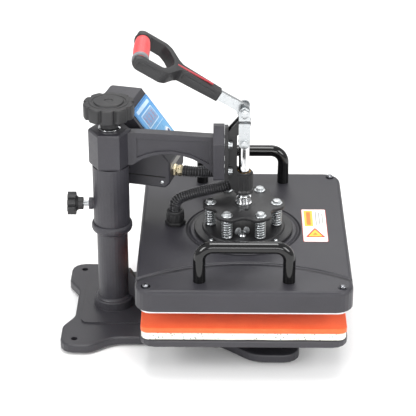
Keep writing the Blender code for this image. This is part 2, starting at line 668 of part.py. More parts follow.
def build_control_box():
    z = COVER_TOP
    side = rounded([(-0.119, z + 0.058, 0.004), (-0.119, z + 0.185, 0.005),
                    (-0.068, z + 0.185, 0.003), (PANEL_FOOT[0], PANEL_FOOT[1], 0.003),
                    (-0.002, z + 0.100, 0.004), (-0.002, z + 0.066, 0.005),
                    (-0.010, z + 0.058, 0.004)], 2)
    bm = prism(side, "Y", 0.0, BOX_WIDTH)
    bevel_flat_rims(bm, 1, 0.0020, 1)
    corner = (*BOX_CORNER, 0)
    box = finish("control_box", bm, dark_paint(), corner, (0, 0, BOX_YAW))
    turn = (0, PANEL_ANGLE, BOX_YAW)
    for _, across in BUTTONS:
        cut(box, cylinder(0.0062, -0.0075, 0.02, 16), panel_place(BUTTON_ALONG, across, 0), turn)
    rear = 0.119
    slot = prism(rounded_rectangle((0.0136, 0.0196), 0.001, 1), "Z", rear - 0.009, rear + 0.01)
    cut(box, slot, box_point(0, 0.024, z + 0.085), (0, -math.pi / 2, BOX_YAW))
    reshade(box)
    build_panel(turn)
    build_box_fittings()


def build_panel(turn):
    size = (PANEL_LENGTH - 0.008, BOX_WIDTH - 0.007)
    bm = prism(rounded_rectangle(size, 0.003, 2), "Z", GAP, 0.0012)
    panel = finish("control_panel", bm, material("blue_panel", (0.10, 0.35, 0.66), 0.35),
                   panel_place(PANEL_LENGTH / 2, BOX_WIDTH / 2, 0), turn)
    for _, across in BUTTONS:
        cut(panel, cylinder(0.0062, -0.01, 0.02, 16), panel_place(BUTTON_ALONG, across, 0), turn)
    for name, across in BUTTONS:
        key = [(0, -0.0045), (0.0058, -0.0045), (0.0058, 0.0028), (0.0050, 0.0034), (0, 0.0034)]
        finish(name, turned(key, 16), material("white_plastic", (0.85, 0.85, 0.85), 0.4),
               panel_place(BUTTON_ALONG, across, 0), turn)


ROCKER_SPOT = box_point(-0.119, 0.024, COVER_TOP + 0.085)


def build_box_fittings():
    z = COVER_TOP
    rocker = [(-0.0091, -0.0040), (0.0091, -0.0040), (0.0091, 0.0012), (0, 0.0004),
              (-0.0091, 0.0012)]
    bm = prism(rocker, "Y", -0.0060, 0.0060)
    finish("power_switch", bm, material("red_plastic", (0.65, 0.02, 0.02), 0.35), ROCKER_SPOT,
           (math.pi / 2, 0, BOX_YAW - math.pi / 2), smooth=False)
    gland = [(0, 0.0003), (0.0085, 0.0003), (0.0085, 0.0050), (0.0065, 0.0055),
             (0.0065, 0.0075), (0.0090, 0.0080), (0.0090, 0.0120), (0.0075, 0.0150),
             (0, 0.0150)]
    finish("box_gland", turned(gland, 16), material("nickel_brass", (0.62, 0.56, 0.42), 0.3, 1.0),
           box_point(-0.002, 0.022, z + 0.080), (0, math.pi / 2, BOX_YAW))
    inlet = [(0, 0.0003), (0.0110, 0.0003), (0.0110, 0.0030), (0.0080, 0.0040),
             (0.0070, 0.0140), (0.0040, 0.0140), (0.0040, 0.0040), (0, 0.0040)]
    finish("mains_inlet", turned(inlet, 16), black_plastic(),
           box_point(-0.119, 0.056, z + 0.085), (0, -math.pi / 2, BOX_YAW))
    near = [(HEAD_X - 0.140, 0.0083), (HEAD_X - 0.118, 0.0083)]
    far = [box_point(a, -GAP, 0)[:2] for a in (-0.010, -0.032)]
    finish("box_mount", prism(near + far, "Z", z + 0.124, z + 0.150), dark_paint(), smooth=False)


def conduit_route():
    """Control box gland to cover gland, as (x, y, z) from the head centre on the cover."""
    leave = [Vector(box_point(-0.002 + out, 0.022, COVER_TOP + 0.080)) for out in (0.0154, 0.024)]
    local = [point - Vector((HEAD_X, 0, COVER_TOP)) for point in leave]
    local += [Vector(p) for p in ((-0.070, 0.0335, 0.0795), (-0.057, 0.0375, 0.0775),
                                  (-0.044, 0.0440, 0.0745), (-0.030, 0.0475, 0.0710),
                                  (-0.019, 0.0440, 0.0680), (-0.0145, 0.0350, 0.0655),
                                  (-0.020, 0.0260, 0.0635), (-0.033, 0.0205, 0.0610),
                                  (-0.048, 0.0180, 0.0580), (-0.066, 0.0170, 0.0540),
                                  (-0.083, 0.0160, 0.0490), (-0.097, 0.0160, 0.0435),
                                  (-0.1035, 0.0160, 0.0355), (-0.104, 0.0160, 0.0300),
                                  (-0.104, 0.0160, 0.0245))]
    return [point + Vector((HEAD_X, 0, COVER_TOP)) for point in local]


def spaced(points, parts):
    """A smooth curve through points, read at even steps."""
    fine = []
    chain = [points[0] * 2 - points[1]] + points + [points[-1] * 2 - points[-2]]
    for a, b, c, d in zip(chain, chain[1:], chain[2:], chain[3:]):
        for k in range(8):
            t = k / 8
            fine.append(0.5 * (2 * b + (c - a) * t + (2 * a - 5 * b + 4 * c - d) * t * t
                               + (3 * b - a - 3 * c + d) * t ** 3))
    fine.append(points[-1])
    return fine[::max(1, 8 // parts)]


def build_conduit():
    smooth_curve("conduit", spaced(conduit_route(), 2), 0.0090, black_plastic(), 2)
    gland = [(0, COVER_TOP + GAP), (0.0135, COVER_TOP + GAP), (0.0135, COVER_TOP + 0.0200),
             (0.0120, COVER_TOP + 0.0240), (0, COVER_TOP + 0.0240)]
    finish("cover_gland", turned(gland, 16), black_plastic(), (HEAD_X - 0.104, 0.016, 0))


# --- joint frames -------------------------------------------------------------
def hang(names, frame_name, place):
    """Parent a moving body's pieces to an empty that stands on its joint."""
    frame = bpy.data.objects.new(frame_name, None)
    frame.location = place
    bpy.context.scene.collection.objects.link(frame)
    bpy.context.view_layer.update()
    for name in names:
        piece = bpy.data.objects[name]
        piece.parent = frame
        piece.matrix_parent_inverse = frame.matrix_world.inverted()


def hang_bodies():
    column = (COLUMN_X, 0, POST_TOP)
    hang(["lift_nut"], "swing_axis", column)
    hang(["swivel_sleeve", "sleeve_collar", "arm_casting", "toggle_bracket", "rod_bush",
          "fulcrum_pin", "control_box", "control_panel", "box_gland", "mains_inlet",
          "box_mount"], "height_slide", column)
    hang(["pressure_knob", "pressure_screw"], "pressure_knob_axis", (COLUMN_X, 0, 0.35))
    hang(["lock_knob", "lock_screw"], "lock_knob_axis", (COLUMN_X, 0, LOCK_Z))
    hang(["lever_bar", "link_bolt", "lever_handle", "red_grip"], "lever_axis", FULCRUM)
    hang(["link_near", "link_far"], "link_axis", LINK_TOP)
    hang(["press_rod", "rod_pin", "rod_collar", "pressure_plate"], "head_slide", LINK_FOOT)
    hang(["head_cover", "mounting_disc", "heating_platen", "insulation_board", "handle_near",
          "handle_far", "cover_gland", "conduit"]
         + [f"spring_{k + 1}" for k in range(SPRING_COUNT)]
         + [f"spring_bolt_{k + 1}" for k in range(SPRING_COUNT)],
         "platen_float", (HEAD_X, 0, COVER_TOP))


def main():
    clear_scene()
    build_base()
    build_post()
    build_bed()
    build_sleeve()
    build_arm()
    build_bracket()
    build_pressure_knob()
    build_lock_knob()
    build_lever()
    build_handle()
    build_links()
    build_rod()
    build_suspension()
    build_head()
    build_handles()
    build_control_box()
    build_conduit()
    hang_bodies()


main()
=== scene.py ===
"""A swing-away heat press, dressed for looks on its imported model.

Metres, in the model's own frame: +Z up, +X towards the machine's front, +Y to
the side of the control box. The head centre on top of its cover is the origin
of most of the small parts' places, through at().
"""

import math

import bmesh
import bpy
from mathutils import Matrix, Vector


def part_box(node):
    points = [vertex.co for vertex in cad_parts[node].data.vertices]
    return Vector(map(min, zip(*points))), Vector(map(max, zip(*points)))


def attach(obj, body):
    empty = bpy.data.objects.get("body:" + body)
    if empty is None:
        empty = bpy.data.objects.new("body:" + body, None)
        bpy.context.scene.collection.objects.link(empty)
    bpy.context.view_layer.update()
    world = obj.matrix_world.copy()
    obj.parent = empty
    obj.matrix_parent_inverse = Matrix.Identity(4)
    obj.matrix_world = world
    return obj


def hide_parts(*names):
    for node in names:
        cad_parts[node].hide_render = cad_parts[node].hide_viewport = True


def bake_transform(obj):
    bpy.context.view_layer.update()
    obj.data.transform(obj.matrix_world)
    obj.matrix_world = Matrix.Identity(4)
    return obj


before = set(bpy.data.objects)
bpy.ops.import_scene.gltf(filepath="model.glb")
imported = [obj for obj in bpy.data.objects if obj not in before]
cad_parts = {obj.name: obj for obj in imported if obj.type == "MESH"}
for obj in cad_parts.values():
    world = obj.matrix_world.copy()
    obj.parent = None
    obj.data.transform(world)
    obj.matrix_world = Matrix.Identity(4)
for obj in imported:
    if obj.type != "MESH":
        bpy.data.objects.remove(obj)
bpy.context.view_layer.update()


# --- places read from the model -------------------------------------------------
def middle(name, axis):
    low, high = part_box(name)
    return (low[axis] + high[axis]) / 2


HEAD_X = middle("head_cover", 0)
COLUMN_X = middle("post", 0)
COVER_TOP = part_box("head_cover")[1][2]
DISC_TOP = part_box("mounting_disc")[1][2]
PLATE_LOW, PLATE_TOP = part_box("pressure_plate")[0][2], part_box("pressure_plate")[1][2]
LINK_TOP = Vector((HEAD_X, 0, middle("link_bolt", 2)))
LINK_FOOT = Vector((HEAD_X, 0, middle("rod_pin", 2)))
FULCRUM = Vector((HEAD_X, 0, middle("fulcrum_pin", 2)))
LOCK_Z = middle("lock_screw", 2)
LEVER_TILT = math.radians(31.5)
GRIP_ALONG = 0.176            # link bolt to grip axis, along the lever
SPRING_CIRCLE = 0.050         # radius the spring bolts stand on
BOX_YAW = math.radians(-14)
BOX_CORNER = (HEAD_X - 0.110, 0.018)
BOX_WIDTH = 0.079
BOX_LENGTH = 0.119
PANEL_TOP = Vector((-0.064, 0, COVER_TOP + 0.180))
PANEL_FOOT = Vector((-0.010, 0, COVER_TOP + 0.110))
PANEL_DOWN = (PANEL_FOOT - PANEL_TOP).normalized()
PANEL_OUT = Vector((-PANEL_DOWN.z, 0, PANEL_DOWN.x))
PANEL_LENGTH = (PANEL_FOOT - PANEL_TOP).length
KEY_DOWN = PANEL_LENGTH - 0.020
KEYS = (("button_set", 0.020), ("button_up", 0.0395), ("button_down", 0.059))
DISPLAY_DOWN = 0.0320         # the display's middle, down the panel
BOX_GLAND = (-0.002, 0.022, 0.080)    # on the box's front, from its corner and the cover's top
COVER_GLAND = (-0.104, 0.0160)        # on the cover, from the head's centre
HEAD_AXIS = Vector((HEAD_X, 0, 0))
COLUMN_AXIS = Vector((COLUMN_X, 0, 0))


def at(x, y, z):
    """A place from the head centre on the cover."""
    return Vector((HEAD_X + x, y, COVER_TOP + z))


BOX_FRAME = (Matrix.Translation((BOX_CORNER[0], BOX_CORNER[1], 0))
             @ Matrix.Rotation(BOX_YAW, 4, "Z"))
PANEL_FRAME = (BOX_FRAME @ Matrix.Translation(PANEL_TOP)
               @ Matrix.Rotation(math.atan2(PANEL_OUT.x, PANEL_OUT.z), 4, "Y"))
LEVER_FRAME = Matrix.Translation(LINK_TOP) @ Matrix.Rotation(LEVER_TILT, 4, "Y")
TO_X = Matrix.Rotation(math.pi / 2, 4, "Y")
TO_Y = Matrix.Rotation(-math.pi / 2, 4, "X")
UPRIGHT = Matrix.Rotation(math.pi / 2, 4, "X")
FLIPPED = Matrix.Rotation(math.pi, 4, "X")
SIDES = (("near", -1), ("far", 1))
VERT, EDGE = bmesh.types.BMVert, bmesh.types.BMEdge


# --- shapes -----------------------------------------------------------------------
def piece(name, bm, surface, body, stands_for=(), angle=35, between=None):
    """Turn a bmesh, already in its place, into a piece on a body.

    between, given as (the other body, start, end) for a piece that bridges a joint, is read only
    for its presence: such a piece is attached to no body, and body, the other body, start and end
    are not used.
    """
    bmesh.ops.remove_doubles(bm, verts=bm.verts, dist=1e-6)
    bmesh.ops.recalc_face_normals(bm, faces=bm.faces)
    mesh = bpy.data.meshes.new(name)
    bm.to_mesh(mesh)
    bm.free()
    mesh.materials.append(surface)
    mesh.shade_smooth()
    mesh.set_sharp_from_angle(angle=math.radians(angle))
    made = bpy.data.objects.new(name, mesh)
    bpy.context.scene.collection.objects.link(made)
    if between:
        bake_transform(made)
    else:
        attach(made, body)
    if stands_for:
        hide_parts(*stands_for)
    return made


def spun(profile, steps=32, ring=False):
    """Spin (radius, height) points about Z."""
    bm = bmesh.new()
    verts = [bm.verts.new((radius, 0, height)) for radius, height in profile]
    edges = [bm.edges.new(pair) for pair in zip(verts, verts[1:])]
    if ring:
        edges.append(bm.edges.new((verts[-1], verts[0])))
    bmesh.ops.spin(bm, geom=verts + edges, cent=(0, 0, 0), axis=(0, 0, 1),
                   angle=math.tau, steps=steps, use_merge=True)
    bmesh.ops.remove_doubles(bm, verts=bm.verts, dist=1e-6)
    bmesh.ops.recalc_face_normals(bm, faces=bm.faces)
    return bm


def moved(bm, place):
    """Put a bmesh in its place; place is a matrix or a point."""
    matrix = place if isinstance(place, Matrix) else Matrix.Translation(place)
    bmesh.ops.transform(bm, matrix=matrix, verts=bm.verts)
    return bm


def merged(*parts):
    """One bmesh from several."""
    whole = parts[0]
    for part in parts[1:]:
        mesh = bpy.data.meshes.new("joined")
        part.to_mesh(mesh)
        part.free()
        whole.from_mesh(mesh)
        bpy.data.meshes.remove(mesh)
    return whole


def disc(radius, segments, level=0.0, filled=True):
    """A flat circle about Z, or its rim alone."""
    bm = bmesh.new()
    bmesh.ops.create_circle(bm, cap_ends=filled, segments=segments, radius=radius)
    return moved(bm, Vector((0, 0, level)))


def only(geom, kind):
    """The verts or the edges among mixed geometry."""
    return [part for part in geom if isinstance(part, kind)]


def extruded(bm, edges, vec):
    """Draw edges out along a vector; returns what grew."""
    grown = bmesh.ops.extrude_edge_only(bm, edges=edges)["geom"]
    bmesh.ops.translate(bm, verts=only(grown, VERT), vec=vec)
    return grown


def cut_across(bm, spot, way):
    """Add a line of vertices where a plane crosses the bmesh."""
    bmesh.ops.bisect_plane(bm, geom=bm.verts[:] + bm.edges[:] + bm.faces[:], dist=1e-6,
                           plane_co=spot, plane_no=way)


def rims(bm, levels, axis=2):
    """Edges that lie flat at the given levels along an axis."""
    return [e for e in bm.edges if all(
        any(abs(v.co[axis] - level) < 1e-6 for level in levels) for v in e.verts)
        and abs(e.verts[0].co[axis] - e.verts[1].co[axis]) < 1e-6]


def softened(bm, edges, width, segments=3):
    """Round the given edges."""
    bmesh.ops.bevel(bm, geom=edges, offset=width, segments=segments, profile=0.5,
                    affect="EDGES", material=-1, clamp_overlap=True)
    return bm


def risen(bm, height):
    """Extrude every face of a flat bmesh upwards."""
    grown = bmesh.ops.extrude_face_region(bm, geom=bm.faces[:])["geom"]
    bmesh.ops.translate(bm, verts=only(grown, VERT), vec=(0, 0, height))
    bmesh.ops.recalc_face_normals(bm, faces=bm.faces)
    return bm


def slab(size, radius, low, high, edge=0.0, segments=3, corner_steps=6, levels=None):
    """A flat block with round corners, its rims softened by edge."""
    bm = bmesh.new()
    bmesh.ops.create_grid(bm, x_segments=1, y_segments=1, size=0.5)
    bmesh.ops.scale(bm, vec=(size[0], size[1], 1), verts=bm.verts)
    if radius:
        bmesh.ops.bevel(bm, geom=bm.verts[:], offset=radius, segments=corner_steps,
                        profile=0.5, affect="VERTICES", material=-1)
    bmesh.ops.translate(bm, verts=bm.verts, vec=(0, 0, low))
    risen(bm, high - low)
    if edge:
        softened(bm, rims(bm, levels or [low, high]), edge, segments)
    return bm


def hexagon(across, low, high, edge=0.0005, sides=6):
    """A hexagonal nut or bolt head, across its flats."""
    bm = risen(disc(across / 2 / math.cos(math.pi / sides), sides, low), high - low)
    softened(bm, rims(bm, [high]), edge, 2)
    return bm


def dome(radius, low, high, steps=20):
    """A pan screw head with a round shoulder."""
    height = high - low
    return spun([(0, low), (radius * 0.97, low), (radius, low + height * 0.25),
                 (radius * 0.93, low + height * 0.62), (radius * 0.70, low + height * 0.90),
                 (radius * 0.35, high), (0, high)], steps)


def crossed(bm, centre, reach, depth):
    """Two thin bars laid across a screw head, which read as its cross slot."""
    for turn in (0, math.pi / 2):
        bar = bmesh.new()
        bmesh.ops.create_cube(bar, size=1)
        moved(bar, Matrix.Translation(centre) @ Matrix.Rotation(turn, 4, "Z")
              @ Matrix.Diagonal((reach * 2, reach * 0.38, depth, 1)))
        bm = merged(bm, bar)
    return bm


def lobed(radius, depth, lobes, low, high, sharp=4, edge=0.0015, per_lobe=20, segments=3):
    """A star knob's body: a disc whose rim is drawn in between its lobes."""
    bm = disc(radius, lobes * per_lobe)
    for vert in bm.verts:
        turn = math.atan2(vert.co.y, vert.co.x)
        groove = max(0.0, math.cos(turn * lobes)) ** sharp
        vert.co *= (radius - depth * groove) / radius
        vert.co.z = low
    risen(bm, high - low)
    if edge:
        softened(bm, rims(bm, [low, high]), edge, segments)
    return bm


def coil(radius, wire, low, high, turns, steps=20, sides=8, start=0.0):
    """A helical spring of round wire, its two ends capped."""
    bm = disc(wire, sides, filled=False)
    moved(bm, Matrix.Rotation(start, 4, "Z") @ Matrix.Translation((radius, 0, low + wire))
          @ UPRIGHT)
    count = int(turns * steps)
    bmesh.ops.spin(bm, geom=bm.verts[:] + bm.edges[:], cent=(0, 0, 0), axis=(0, 0, 1),
                   dvec=(0, 0, (high - low - wire * 2) / count), angle=math.tau * turns,
                   steps=count)
    bmesh.ops.holes_fill(bm, edges=[e for e in bm.edges if e.is_boundary], sides=0)
    return bm


# --- materials --------------------------------------------------------------------
def colour(text):
    """An sRGB hex colour as linear RGBA."""
    parts = [int(text[i:i + 2], 16) / 255 for i in (0, 2, 4)]
    return (*[p / 12.92 if p <= 0.04045 else ((p + 0.055) / 1.055) ** 2.4 for p in parts], 1.0)


def add(tree, kind, values=None, **settings):
    """Add a node with its settings; values fill its sockets or link other nodes' outputs."""
    made = tree.nodes.new(kind)
    for name, value in settings.items():
        setattr(made, name, value)
    for socket, value in (values or {}).items():
        if isinstance(value, bpy.types.NodeSocket):
            tree.links.new(value, made.inputs[socket])
        else:
            made.inputs[socket].default_value = value
    return made


def blank(name, roughness, metallic=0.0, **sockets):
    """A new material with its shader's own numbers set; returns it, its tree and its shader."""
    made = bpy.data.materials.new(name)
    made.use_nodes = True
    tree = made.node_tree
    shader = tree.nodes["Principled BSDF"]
    shader.inputs["Roughness"].default_value = roughness
    shader.inputs["Metallic"].default_value = metallic
    for socket, value in sockets.items():
        shader.inputs[socket.replace("_", " ")].default_value = value
    return made, tree, shader


def mixed(tree, share, base, spread):
    """A colour between two, each a hex text or another node's output."""
    pair = [colour(end) if isinstance(end, str) else end for end in (base, spread)]
    return add(tree, "ShaderNodeMix", {0: share, 6: pair[0], 7: pair[1]},
               data_type="RGBA").outputs[2]


def ranged(tree, value, low, high, out_low=0.0, out_high=1.0, **settings):
    """One range of a value stretched to another."""
    return add(tree, "ShaderNodeMapRange", {"Value": value, "From Min": low, "From Max": high,
                                            "To Min": out_low, "To Max": out_high},
               **settings).outputs[0]


def dented(tree, shader, height, strength, distance, under=None):
    """Relief from a height, laid over other relief and put on the shader."""
    values = {"Height": height, "Strength": strength, "Distance": distance}
    if under is not None:
        values["Normal"] = under
    relief = add(tree, "ShaderNodeBump", values).outputs[0]
    tree.links.new(relief, shader.inputs["Normal"])
    return relief


def in_object(tree):
    """Texture places in metres, in the object's own frame."""
    return add(tree, "ShaderNodeTexCoord").outputs["Object"]


def grained(name, base, spread, grit, roughness, rough_spread=0.06, bump=0.10, cloud=0.03,
            metallic=0.0, edge=0.0006, worn=None, **sockets):
    """A surface with a fine grit and slow clouds in its colour and gloss.

    grit and cloud are real sizes in metres; edge rounds sharp rims for the light.
    """
    made, tree, shader = blank(name, roughness, metallic, **sockets)
    place = in_object(tree)
    slow = add(tree, "ShaderNodeTexNoise", {"Vector": place, "Scale": 1 / cloud, "Detail": 4.0,
                                            "Roughness": 0.6}).outputs["Fac"]
    fine = add(tree, "ShaderNodeTexNoise", {"Vector": place, "Scale": 1 / grit, "Detail": 3.0,
                                            "Roughness": 0.65}).outputs["Fac"]
    both = add(tree, "ShaderNodeMath", {0: slow, 1: fine}, operation="ADD")
    paint = mixed(tree, ranged(tree, both.outputs[0], 0.7, 1.3), base, spread)
    rounding = add(tree, "ShaderNodeBevel", {"Radius": edge}, samples=4).outputs[0]
    if worn:
        face = add(tree, "ShaderNodeNewGeometry").outputs["Normal"]
        turned = add(tree, "ShaderNodeVectorMath", {0: rounding, 1: face},
                     operation="DOT_PRODUCT")
        rim = ranged(tree, turned.outputs["Value"], 0.995, 0.80)
        patchy = add(tree, "ShaderNodeMath", {0: rim, 1: slow}, operation="MULTIPLY")
        paint = mixed(tree, patchy.outputs[0], paint, worn)
    tree.links.new(paint, shader.inputs["Base Color"])
    gloss = ranged(tree, slow, 0.3, 0.7, roughness - rough_spread, roughness + rough_spread)
    tree.links.new(gloss, shader.inputs["Roughness"])
    relief = dented(tree, shader, fine, bump, grit * 0.5, rounding)
    return made, tree, shader, relief


def coating(*numbers, **sockets):
    """A grained material as it is, with nothing more laid on."""
    return grained(*numbers, **sockets)[0]


# Polyester powder coat baked on steel and castings: a dull charcoal skin whose fine orange
# peel breaks highlights up. Its 0.3 mm grit is drawn at 1.1 mm so that it shows.
POWDER_COAT = coating("charcoal_powder_coat", "29282d", "343338", 0.0011, 0.42, 0.05, 0.35,
                      0.06, worn="4a4a4e", IOR=1.5)

# The same coat on the column and arm, a shade deeper where the casting is rougher.
CAST_COAT = coating("coated_casting", "2a292e", "36353b", 0.0014, 0.40, 0.06, 0.42,
                    0.04, worn="4c4c4f", IOR=1.5)

# Black powder coat on the toggle bracket and disc: deep, with a soft satin light.
BLACK_COAT = coating("black_powder_coat", "171718", "222224", 0.0008, 0.40, 0.05, 0.18,
                     0.03, worn="3a3a3c", IOR=1.5)

# Glass-filled nylon from a spark-eroded mould: matt black with a sandy grain.
MOULDED_NYLON = coating("moulded_nylon", "19191a", "232325", 0.0007, 0.52, 0.05, 0.25,
                        0.02, IOR=1.53)

# The same nylon where the mould was polished: a satin field inside the sandy grain.
GLOSS_NYLON = coating("polished_nylon", "141415", "1e1e20", 0.0010, 0.30, 0.04, 0.08,
                      0.02, IOR=1.53)

# Textured steel housing of the controller: charcoal, finer and flatter than the castings.
HOUSING_COAT = coating("housing_coat", "27262b", "323137", 0.0008, 0.44, 0.04, 0.20,
                       0.05, worn="505256", IOR=1.5)

# Dipped enamel on the bent carrying handles: glossy black, with a faint ripple.
DIPPED_ENAMEL = coating("dipped_enamel", "050506", "0a0a0b", 0.0040, 0.09, 0.02, 0.01,
                        0.02, IOR=1.50)

# Bright zinc plate with clear passivation: bluish grey metal, cloudy in its gloss.
ZINC_PLATE = coating("bright_zinc_plate", "b2b6b9", "cdd0d1", 0.0006, 0.30, 0.07, 0.06,
                     0.012, metallic=1.0, edge=0.0004)

# Hard chrome on the press rod and screws: near-mirror, only just clouded.
CHROME_PLATE = coating("chrome_plate", "d6d7d9", "e2e3e4", 0.0008, 0.10, 0.04, 0.02,
                       0.010, metallic=1.0, edge=0.0004)

# Blackened steel of the washers under the cover's dome nuts: dark, with a sharp light.
BLACKENED_STEEL = coating("blackened_steel", "26262a", "34343a", 0.0006, 0.18, 0.05, 0.04,
                          0.006, metallic=0.8, edge=0.0004)

# Chromed dome nuts on the cover: their metal is painted mid grey, a painted reflection of the dark
# cover round them, with one bright light on top.
DOME_PAINTED_REFLECTION = coating("chromed_dome_painted_reflection", "77787c", "8b8c90", 0.0008, 0.12, 0.03, 0.02, 0.010,
                      metallic=1.0, edge=0.0004)

# Black polyamide of the conduit: smooth off its rings, so that each takes a line of light; their
# grey, lighter than the black conduit, is a painted highlight on the ring tops.
RINGS_PAINTED_HIGHLIGHT = coating("ringed_polyamide_painted_highlight", "2b2b2e", "3a3a3e", 0.0012, 0.18, 0.04, 0.03,
                           0.010, edge=0.00005, IOR=1.53)

# Milled and sanded aluminium of the heated plate: pale, with a soft wide highlight.
MILLED_ALUMINIUM = coating("milled_aluminium", "c9cacb", "dedfe0", 0.0009, 0.34, 0.07, 0.10,
                           0.02, metallic=1.0)

# Nickel-plated brass of the cable gland: a warm, slightly yellow metal.
NICKEL_BRASS = coating("nickel_plated_brass", "b7a986", "cfc6ac", 0.0006, 0.28, 0.06, 0.06,
                       0.005, metallic=1.0, edge=0.0004)

# Oil-soaked sintered bronze of the nut and bush: brown gold, matt.
SINTERED_BRONZE = coating("sintered_bronze", "8a6a3c", "a07f4c", 0.0006, 0.45, 0.08, 0.20,
                          0.008, metallic=1.0)

# Moulded neoprene of the feet: dull black, with a bloom of grey.
NEOPRENE = coating("neoprene", "171717", "242424", 0.0008, 0.80, 0.08, 0.25, 0.010, IOR=1.50)

# Needled mineral fibre board inside the head: off-white and furry.
MINERAL_BOARD = coating("mineral_fibre_board", "cfc8b4", "ddd8c8", 0.0010, 0.92, 0.04, 0.5,
                        0.010)

# Moulded white acetal of the keys, faintly glossy.
WHITE_ACETAL = coating("white_acetal", "e6e7e8", "f2f3f3", 0.0012, 0.34, 0.04, 0.04, 0.006,
                       IOR=1.48)

# Moulded red polycarbonate of the rocker.
RED_POLYCARBONATE = coating("red_polycarbonate", "b31418", "c31a1e", 0.0015, 0.24, 0.05, 0.03,
                            0.008, IOR=1.58)

# Red-dyed inlay strip let into the handle's stem: soft vinyl, satin.
RED_VINYL = coating("red_vinyl_inlay", "9c2630", "ad323b", 0.0008, 0.45, 0.05, 0.12, 0.010,
                    IOR=1.52)


def silicone_foam():
    """Closed-cell silicone foam, calendered: a strong matt orange with fine open pores,
    which dull its light. The pores of 0.4 mm are drawn at 1.4 mm so that they show."""
    made, tree, shader, relief = grained("silicone_foam", "f05a2a", "fb6c38", 0.0011, 0.60,
                                         0.05, 0.30, 0.03, edge=0.001, IOR=1.41,
                                         Sheen_Weight=0.15, Sheen_Roughness=0.5)
    cells = add(tree, "ShaderNodeTexVoronoi", {"Vector": in_object(tree), "Scale": 1 / 0.0014})
    pit = ranged(tree, cells.outputs["Distance"], 0.0, 0.35)
    dented(tree, shader, pit, 0.25, 0.0004, relief)
    return made


def pressed_felt():
    """Recycled needle felt, pressed hard: cream with a green cast, crossed by short fibres
    and flecked with dark and coloured scraps about 1.5 mm across, which show at that size."""
    made, tree, shader = blank("pressed_felt", 0.92, IOR=1.46, Sheen_Weight=0.35,
                               Sheen_Roughness=0.6)
    place = in_object(tree)
    fluff = add(tree, "ShaderNodeTexNoise", {"Vector": place, "Scale": 1 / 0.0022,
                                             "Detail": 6.0, "Roughness": 0.75,
                                             "Distortion": 1.2}).outputs["Fac"]
    ground = mixed(tree, fluff, "cdcfb8", "f6f6ea")
    # Each row: the flecks' spacing, their inner and outer size as a share of it, their colour.
    for size, inner, outer, fleck in ((0.0062, 0.16, 0.20, "4d5a5c"),
                                      (0.0048, 0.15, 0.19, "9a9c86"),
                                      (0.0075, 0.14, 0.18, "6f9aa0"),
                                      (0.0039, 0.14, 0.19, "ffffff")):
        bent = add(tree, "ShaderNodeVectorMath", {0: place, 1: (size * 3, size * 7, size)},
                   operation="ADD")
        spot = add(tree, "ShaderNodeTexVoronoi", {"Vector": bent.outputs[0], "Scale": 1 / size})
        inside = ranged(tree, spot.outputs["Distance"], inner, outer, 0.85, 0.0)
        ground = mixed(tree, inside, ground, fleck)
    tree.links.new(ground, shader.inputs["Base Color"])
    dented(tree, shader, fluff, 0.6, 0.0010)
    return made


def rubber_sleeve():
    """Red thermoplastic rubber, over-moulded on the grip: satin, with 3 mm ribs round it."""
    made, tree, shader, relief = grained("red_rubber_sleeve", "d2393c", "e0484a", 0.0009, 0.42,
                                         0.05, 0.20, 0.015, IOR=1.50, Sheen_Weight=0.1)
    ribs = add(tree, "ShaderNodeTexWave", {"Vector": in_object(tree),
                                           "Scale": math.pi / 10 / 0.0030},
               wave_type="BANDS", bands_direction="Y")
    dented(tree, shader, ribs.outputs["Fac"], 0.35, 0.0005, relief)
    return made


def cover_coat():
    """The head cover's powder coat, with two shallow grooves pressed into the sheet: a ring
    168 mm across round the disc, and an arc of 276 mm radius across the near end."""
    made, tree, shader, relief = grained("pressed_cover_coat", "26252a", "302f35", 0.0011, 0.43,
                                         0.05, 0.30, 0.08, worn="47474b", IOR=1.5)
    flat = add(tree, "ShaderNodeVectorMath", {0: in_object(tree), 1: (1, 1, 0)},
               operation="MULTIPLY")
    banks = []
    for centre, radius, width in (((HEAD_X, 0, 0), 0.084, 0.0045),
                                  ((HEAD_X + 0.003, -0.3868, 0), 0.2756, 0.0065)):
        reach = add(tree, "ShaderNodeVectorMath", {0: flat.outputs[0], 1: centre},
                    operation="DISTANCE")
        off = add(tree, "ShaderNodeMath", {0: reach.outputs["Value"], 1: radius},
                  operation="SUBTRACT")
        near = add(tree, "ShaderNodeMath", {0: off.outputs[0]}, operation="ABSOLUTE")
        banks.append(ranged(tree, near.outputs[0], 0.0, width,
                            interpolation_type="SMOOTHSTEP"))
    height = add(tree, "ShaderNodeMath", dict(enumerate(banks)), operation="MINIMUM")
    dented(tree, shader, height.outputs[0], 1.0, 0.0050, relief)
    return made


def membrane_film():
    """Printed polyester film over the keys: glossy blue, deep at its top edge and paler
    towards the keys, with a fine brushed grain."""
    made, tree, shader, _ = grained("printed_blue_film", "4b97cf", "5aa5da", 0.0010, 0.28,
                                         0.04, 0.05, 0.02, IOR=1.57, Coat_Weight=0.4,
                                         Coat_Roughness=0.12)
    down = add(tree, "ShaderNodeSeparateXYZ", {0: in_object(tree)})
    share = ranged(tree, down.outputs["Z"], PANEL_TOP.z, PANEL_FOOT.z)
    base = shader.inputs["Base Color"].links[0].from_socket
    blended = mixed(tree, 0.75, base, mixed(tree, share, "3b83c4", "86c4ea"))
    tree.links.new(blended, shader.inputs["Base Color"])
    return made


def printed(name, base, spread, roughness=0.4):
    """A printed vinyl field with a little dust and wear in its ink."""
    return coating(name, base, spread, 0.0007, roughness, 0.04, 0.05, 0.008, IOR=1.5)


SILICONE_FOAM = silicone_foam()
PRESSED_FELT = pressed_felt()
RUBBER_SLEEVE = rubber_sleeve()
COVER_COAT = cover_coat()
MEMBRANE_FILM = membrane_film()

